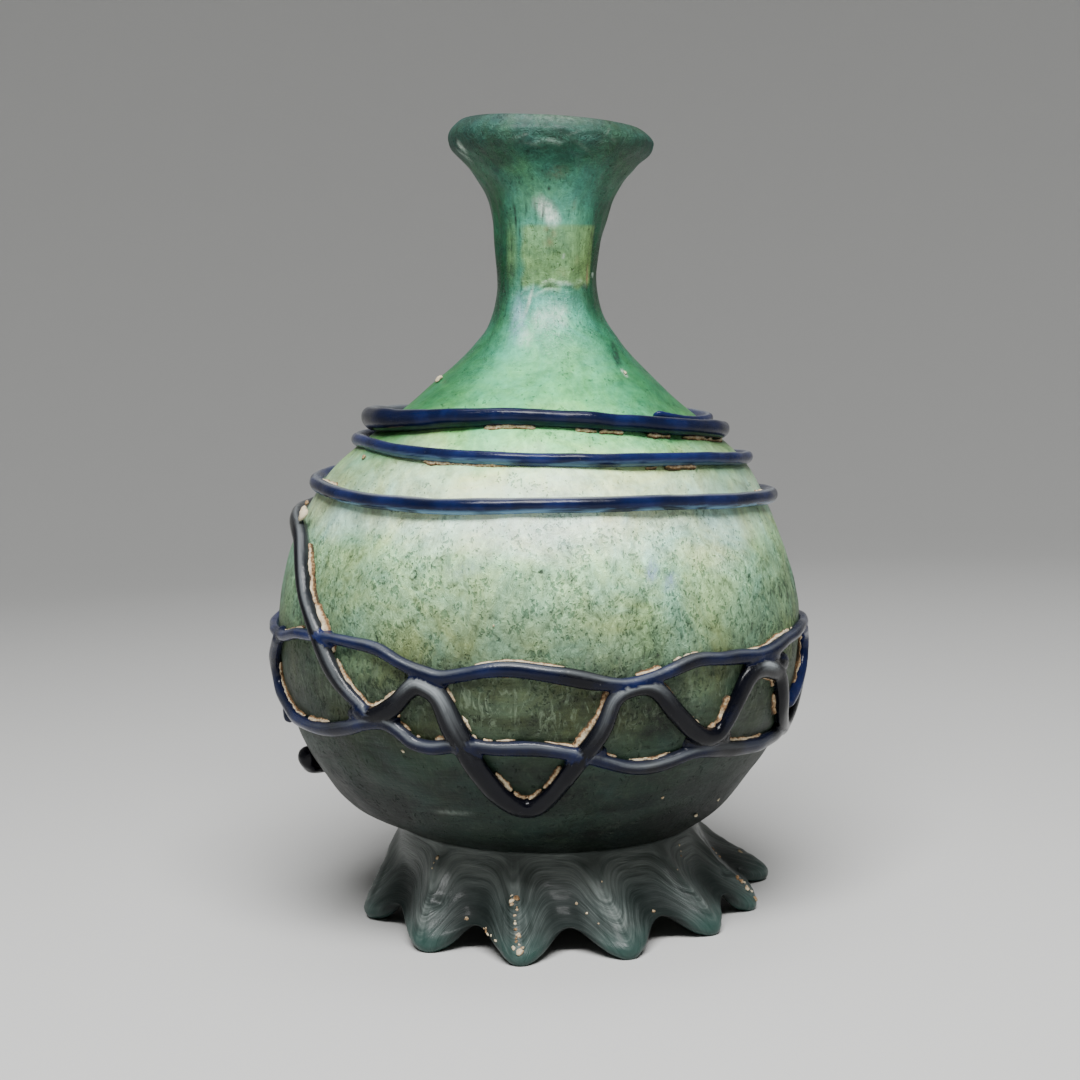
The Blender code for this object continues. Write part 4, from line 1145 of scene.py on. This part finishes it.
# Section of the crust as (share of its width, share of its height, how much edge).
CRUST_SECTION = (
    (-0.55, -1, 0), (-0.5, 0.85, 0.9), (-0.15, 1, 0.2), (0.22, 0.8, 0), (0.6, 0.5, 0.25),
    (0.92, 0.22, 1), (1.12, -1, 1),
)
# Specks of crust and glass chips on the wall: (azimuth, height, size, lift).
WALL_SPECKS = (
    (-76, 101.5, 0.75, 0.3), (-69, 76.2, 1.1, 2.2), (47, 103, 0.35, 0.1), (-61, 87.4, 0.5, 0.4),
    (-30, 37.6, 0.3, 0), (62, 45.6, 0.5, 0.1), (-71.6, 78, 0.5, 2), (33, 28, 0.35, 0),
    (52, 22, 0.4, 0.1), (-9, 60.8, 0.2, 0.1), (61, 24, 0.35, 0.1),
)
# Chips on the foot, in clusters: (azimuth, spread, shares of the way down the skirt
# from and to, how many, mean size).
FOOT_SPECKS = (
    (-13.6, 1.2, 0.19, 0.22, 4, 0.38), (-12.9, 0.7, 0.23, 0.34, 7, 0.26),
    (-12.4, 1.1, 0.35, 0.4, 7, 0.42), (-22.5, 2.6, 0.395, 0.435, 8, 0.28),
    (-31, 0, 0.36, 0.36, 1, 0.3), (74.5, 1.6, 0.31, 0.41, 6, 0.42), (84, 0.8, 0.2, 0.24, 3, 0.34),
    (104, 0, 0.3, 0.3, 1, 0.45), (47, 0, 0.16, 0.16, 1, 0.25), (55, 2, 0.06, 0.11, 3, 0.25),
    (-44, 1.2, 0.08, 0.12, 3, 0.28), (15.5, 0, 0.14, 0.14, 1, 0.25), (8, 3, 0.26, 0.32, 3, 0.2),
    (30, 0, 0.36, 0.36, 1, 0.28), (170, 1, 0.33, 0.38, 4, 0.4), (232, 1, 0.28, 0.33, 4, 0.36),
)
SPECK_ROWS, SPECK_COLUMNS = 7, 12
# A speck's height for its size, how lumpy it is, and the angle left out at its poles.
SPECK_HEIGHT, SPECK_LUMPS, SPECK_OPENING = 0.62, 0.16, 0.12
CHIP_SIZES = (0.55, 1.5)     # smallest and largest share of a cluster's mean size
SEAM_SEED, SEEDS_A_SEAM, SPECK_SEED, CHIP_SEED = 100, 7, 700, 60


def seam(thread, first, last, side, width, height, cover, rust, seed):
    """Seams of crust in the corner between a thread and the wall, each as rings of
    points, how rusty, and how near the edge."""
    low, high = sorted((thread.nearest(*first), thread.nearest(*last)))
    index = np.arange(low, high + 1e-6, CRUST_STEP / THREAD_SPACING)
    steps = np.arange(len(thread.marks))

    def at(values):
        return np.stack([np.interp(index, steps, column) for column in values.T], 1)
    spot, normal, across = at(thread.spot), unit(at(thread.normal)), unit(at(thread.side)) * side
    half = at(thread.width[:, None]) / 2 + SEAM_GAP
    share = np.linspace(0, 1, len(index))
    there = np.clip(ripples(spot, 9.0, seed) + 4.0 * (cover - 0.5), 0, 1)
    there = np.sqrt(there * np.clip(SEAM_TAPER * share, 0, 1)
                    * np.clip(SEAM_TAPER * (1 - share), 0, 1))
    uneven = 1 + 0.26 * ripples(spot, 4.2, seed + 1) + 0.12 * ripples(spot, 1.5, seed + 2)
    wide = SEAM * width * there * np.clip(uneven, 0.35, 1.8)
    tall = height * there * np.clip(1 + 0.22 * ripples(spot, 2.4, seed + 3), 0.5, 1.5)
    out, up, edge = np.array(CRUST_SECTION).T
    seams = []
    for run in np.split(np.arange(len(index)), np.where(np.diff(there > LEAST_CRUST))[0] + 1):
        if len(run) < SHORTEST_SEAM or there[run].max() <= LEAST_CRUST:
            continue
        reach = wide[run, None] * out + half[run]
        rise = np.where(up > 0, tall[run, None] * up - 0.02, -SUNK)
        rings = (spot[run, None] + across[run, None] * reach[..., None]
                 + normal[run, None] * rise[..., None])
        rough = 0.05 * ripples(rings.reshape(-1, 3), 1.0, seed + 4).reshape(rise.shape) * (up > 0)
        seams.append((rings + normal[run, None] * rough[..., None], rust, edge))
    return seams


def speck(spot, normal, size, seed):
    """A small rough lump sitting on a surface, as rings, how rusty and no edge."""
    rng = np.random.default_rng(seed)
    across = unit(np.cross(normal, rng.normal(size=3)))
    up = np.cross(normal, across)
    tilt = np.linspace(SPECK_OPENING, math.pi - SPECK_OPENING, SPECK_ROWS)[:, None, None]
    turn = round_angles(SPECK_COLUMNS)[None, :, None]
    ball = np.sin(tilt) * np.cos(turn) * across * rng.uniform(0.8, 1.3)
    ball = ball + np.sin(tilt) * np.sin(turn) * up * rng.uniform(0.7, 1.1)
    ball = ball + np.cos(tilt) * normal * SPECK_HEIGHT
    lump = 1 + SPECK_LUMPS * ripples(ball.reshape(-1, 3), 1.2, seed).reshape(ball.shape[:2])
    return spot + ball * lump[..., None] * size, rng.uniform(-0.3, 1.0), 0.0


def make_crust(threads, skirt, material):
    """All the crust and chips as one mesh of closed lumps."""
    lumps = []
    rows = [(name, side, row) for name, side, group in CRUST for row in group]
    for i, (name, side, (first, last, *row)) in enumerate(rows):
        lumps += seam(threads[name], first, last, side, *row, SEAM_SEED + SEEDS_A_SEAM * i)
    for i, (azimuth, height, size, lift) in enumerate(WALL_SPECKS):
        spot, normal = wall_points(azimuth, height)
        lumps.append(speck(spot + normal * lift, normal, size, SPECK_SEED + i))
    grid, normals, turns, down, _ = skirt
    rng = np.random.default_rng(CHIP_SEED)
    for azimuth, spread, first, last, count, size in FOOT_SPECKS:
        for share in np.linspace(first, last, count):
            turn = azimuth + spread * rng.uniform(-1, 1)
            at = np.abs(down - share).argmin(), np.abs(gap_between(turns, turn)).argmin()
            lumps.append(speck(grid[at], normals[at], size * rng.uniform(*CHIP_SIZES),
                               int(rng.integers(800, 9000))))
    points, faces = joined([(rings.reshape(-1, 3), ring_faces(*rings.shape[:2], capped=True))
                            for rings, _, _ in lumps])
    fields = {"rust": [np.full(rings.shape[:2], rust).ravel() for rings, rust, _ in lumps],
              "edge": [np.broadcast_to(edge, rings.shape[:2]).ravel() for rings, _, edge in lumps]}
    return build("burial_crust", points, faces, material,
                 {name: np.concatenate(values) for name, values in fields.items()})


# -------------------------------------------------------------------- studio
# Lengths are metres here.
CAMERA_PLACE = (0.0009, -0.389, 0.1085)
CAMERA_PITCH = 5.56
CAMERA_ROLL = 2.5
CAMERA_LENS = 67.47
BOWL_RADIUS = 1.3
BOWL_BEND = 0.7
BOWL_SIDES = 96
BOWL_HEIGHT = 2.0
FLOOR_COLOUR = (0.54, 0.54, 0.53)
WORLD_COLOUR, WORLD_STRENGTH = (0.9, 0.95, 1.0, 1.0), 0.07
# Soft lights, as (name, place, size, power), and the place they are aimed at.
LIGHTS = (("key", (0.0, -0.38, 0.62), (0.52, 0.22), 11.4),
          ("overhead", (0.0, 0.10, 0.75), (0.40, 0.30), 1.6))
LIT_PLACE = (0, 0, 0.08)


def make_floor():
    """A pale floor that bends up all round into a plain backdrop."""
    bend = [(BOWL_RADIUS - BOWL_BEND + BOWL_BEND * math.sin(a), BOWL_BEND - BOWL_BEND * math.cos(a))
            for a in np.linspace(0, math.pi / 2, 16)]
    section = [(0.0001, 0.0), (0.2, 0.0)] + bend + [(BOWL_RADIUS, BOWL_HEIGHT)]
    angle = round_angles(BOWL_SIDES)
    points = [(r * math.cos(a) / MM, r * math.sin(a) / MM, z / MM)
              for r, z in section for a in angle]
    plain = Shader("pale_floor").surface(Base_Color=FLOOR_COLOUR, Roughness=0.6,
                                         Specular_IOR_Level=0.2)
    floor = build("floor", points, ring_faces(len(section), BOWL_SIDES), plain)


def add_light(name, spot, size, power):
    lamp = bpy.data.lights.new(name, "AREA")
    lamp.shape = "RECTANGLE"
    lamp.size, lamp.size_y = size
    lamp.energy = power
    obj = link(name, lamp)
    obj.location = spot
    obj.rotation_euler = (Vector(LIT_PLACE) - obj.location).to_track_quat("-Z", "Y").to_euler()


def make_studio():
    make_floor()
    for light in LIGHTS:
        add_light(*light)
    world = bpy.data.worlds.new("studio")
    world.use_nodes = True
    background = world.node_tree.nodes["Background"].inputs
    background["Color"].default_value = WORLD_COLOUR
    background["Strength"].default_value = WORLD_STRENGTH
    bpy.context.scene.world = world


def make_camera():
    camera = bpy.data.cameras.new("photo_view")
    camera.lens = CAMERA_LENS
    camera.sensor_width = 36.0
    camera.clip_start, camera.clip_end = 0.01, 20.0
    obj = link("photo_view", camera)
    pitch, roll = math.radians(90.0 - CAMERA_PITCH), math.radians(-CAMERA_ROLL)
    obj.matrix_world = (Matrix.Translation(CAMERA_PLACE) @ Matrix.Rotation(pitch, 4, "X")
                        @ Matrix.Rotation(roll, 4, "Z"))
    bpy.context.scene.camera = obj


# ---------------------------------------------------------------------- main
threads = lay_threads()
vessel = make_vessel(weathered_glass())
skirt = foot_grid()
foot = build("toed_foot", skirt[0].reshape(-1, 3),
             ring_faces(len(skirt[0]), FOOT_COLUMNS, closed=True), foot_glass(), skirt[-1])
trails = make_threads(threads, thread_glass())
crust = make_crust(threads, skirt, crust_earth())

for piece, node, slot in ((vessel, "body", "pale_green_glass"), (foot, "foot", "dark_green_glass"),
                          (trails, "blue_trail", "blue_glass")):
    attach(piece, "root")
    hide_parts(node)
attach(crust, "root")

make_studio()
make_camera()
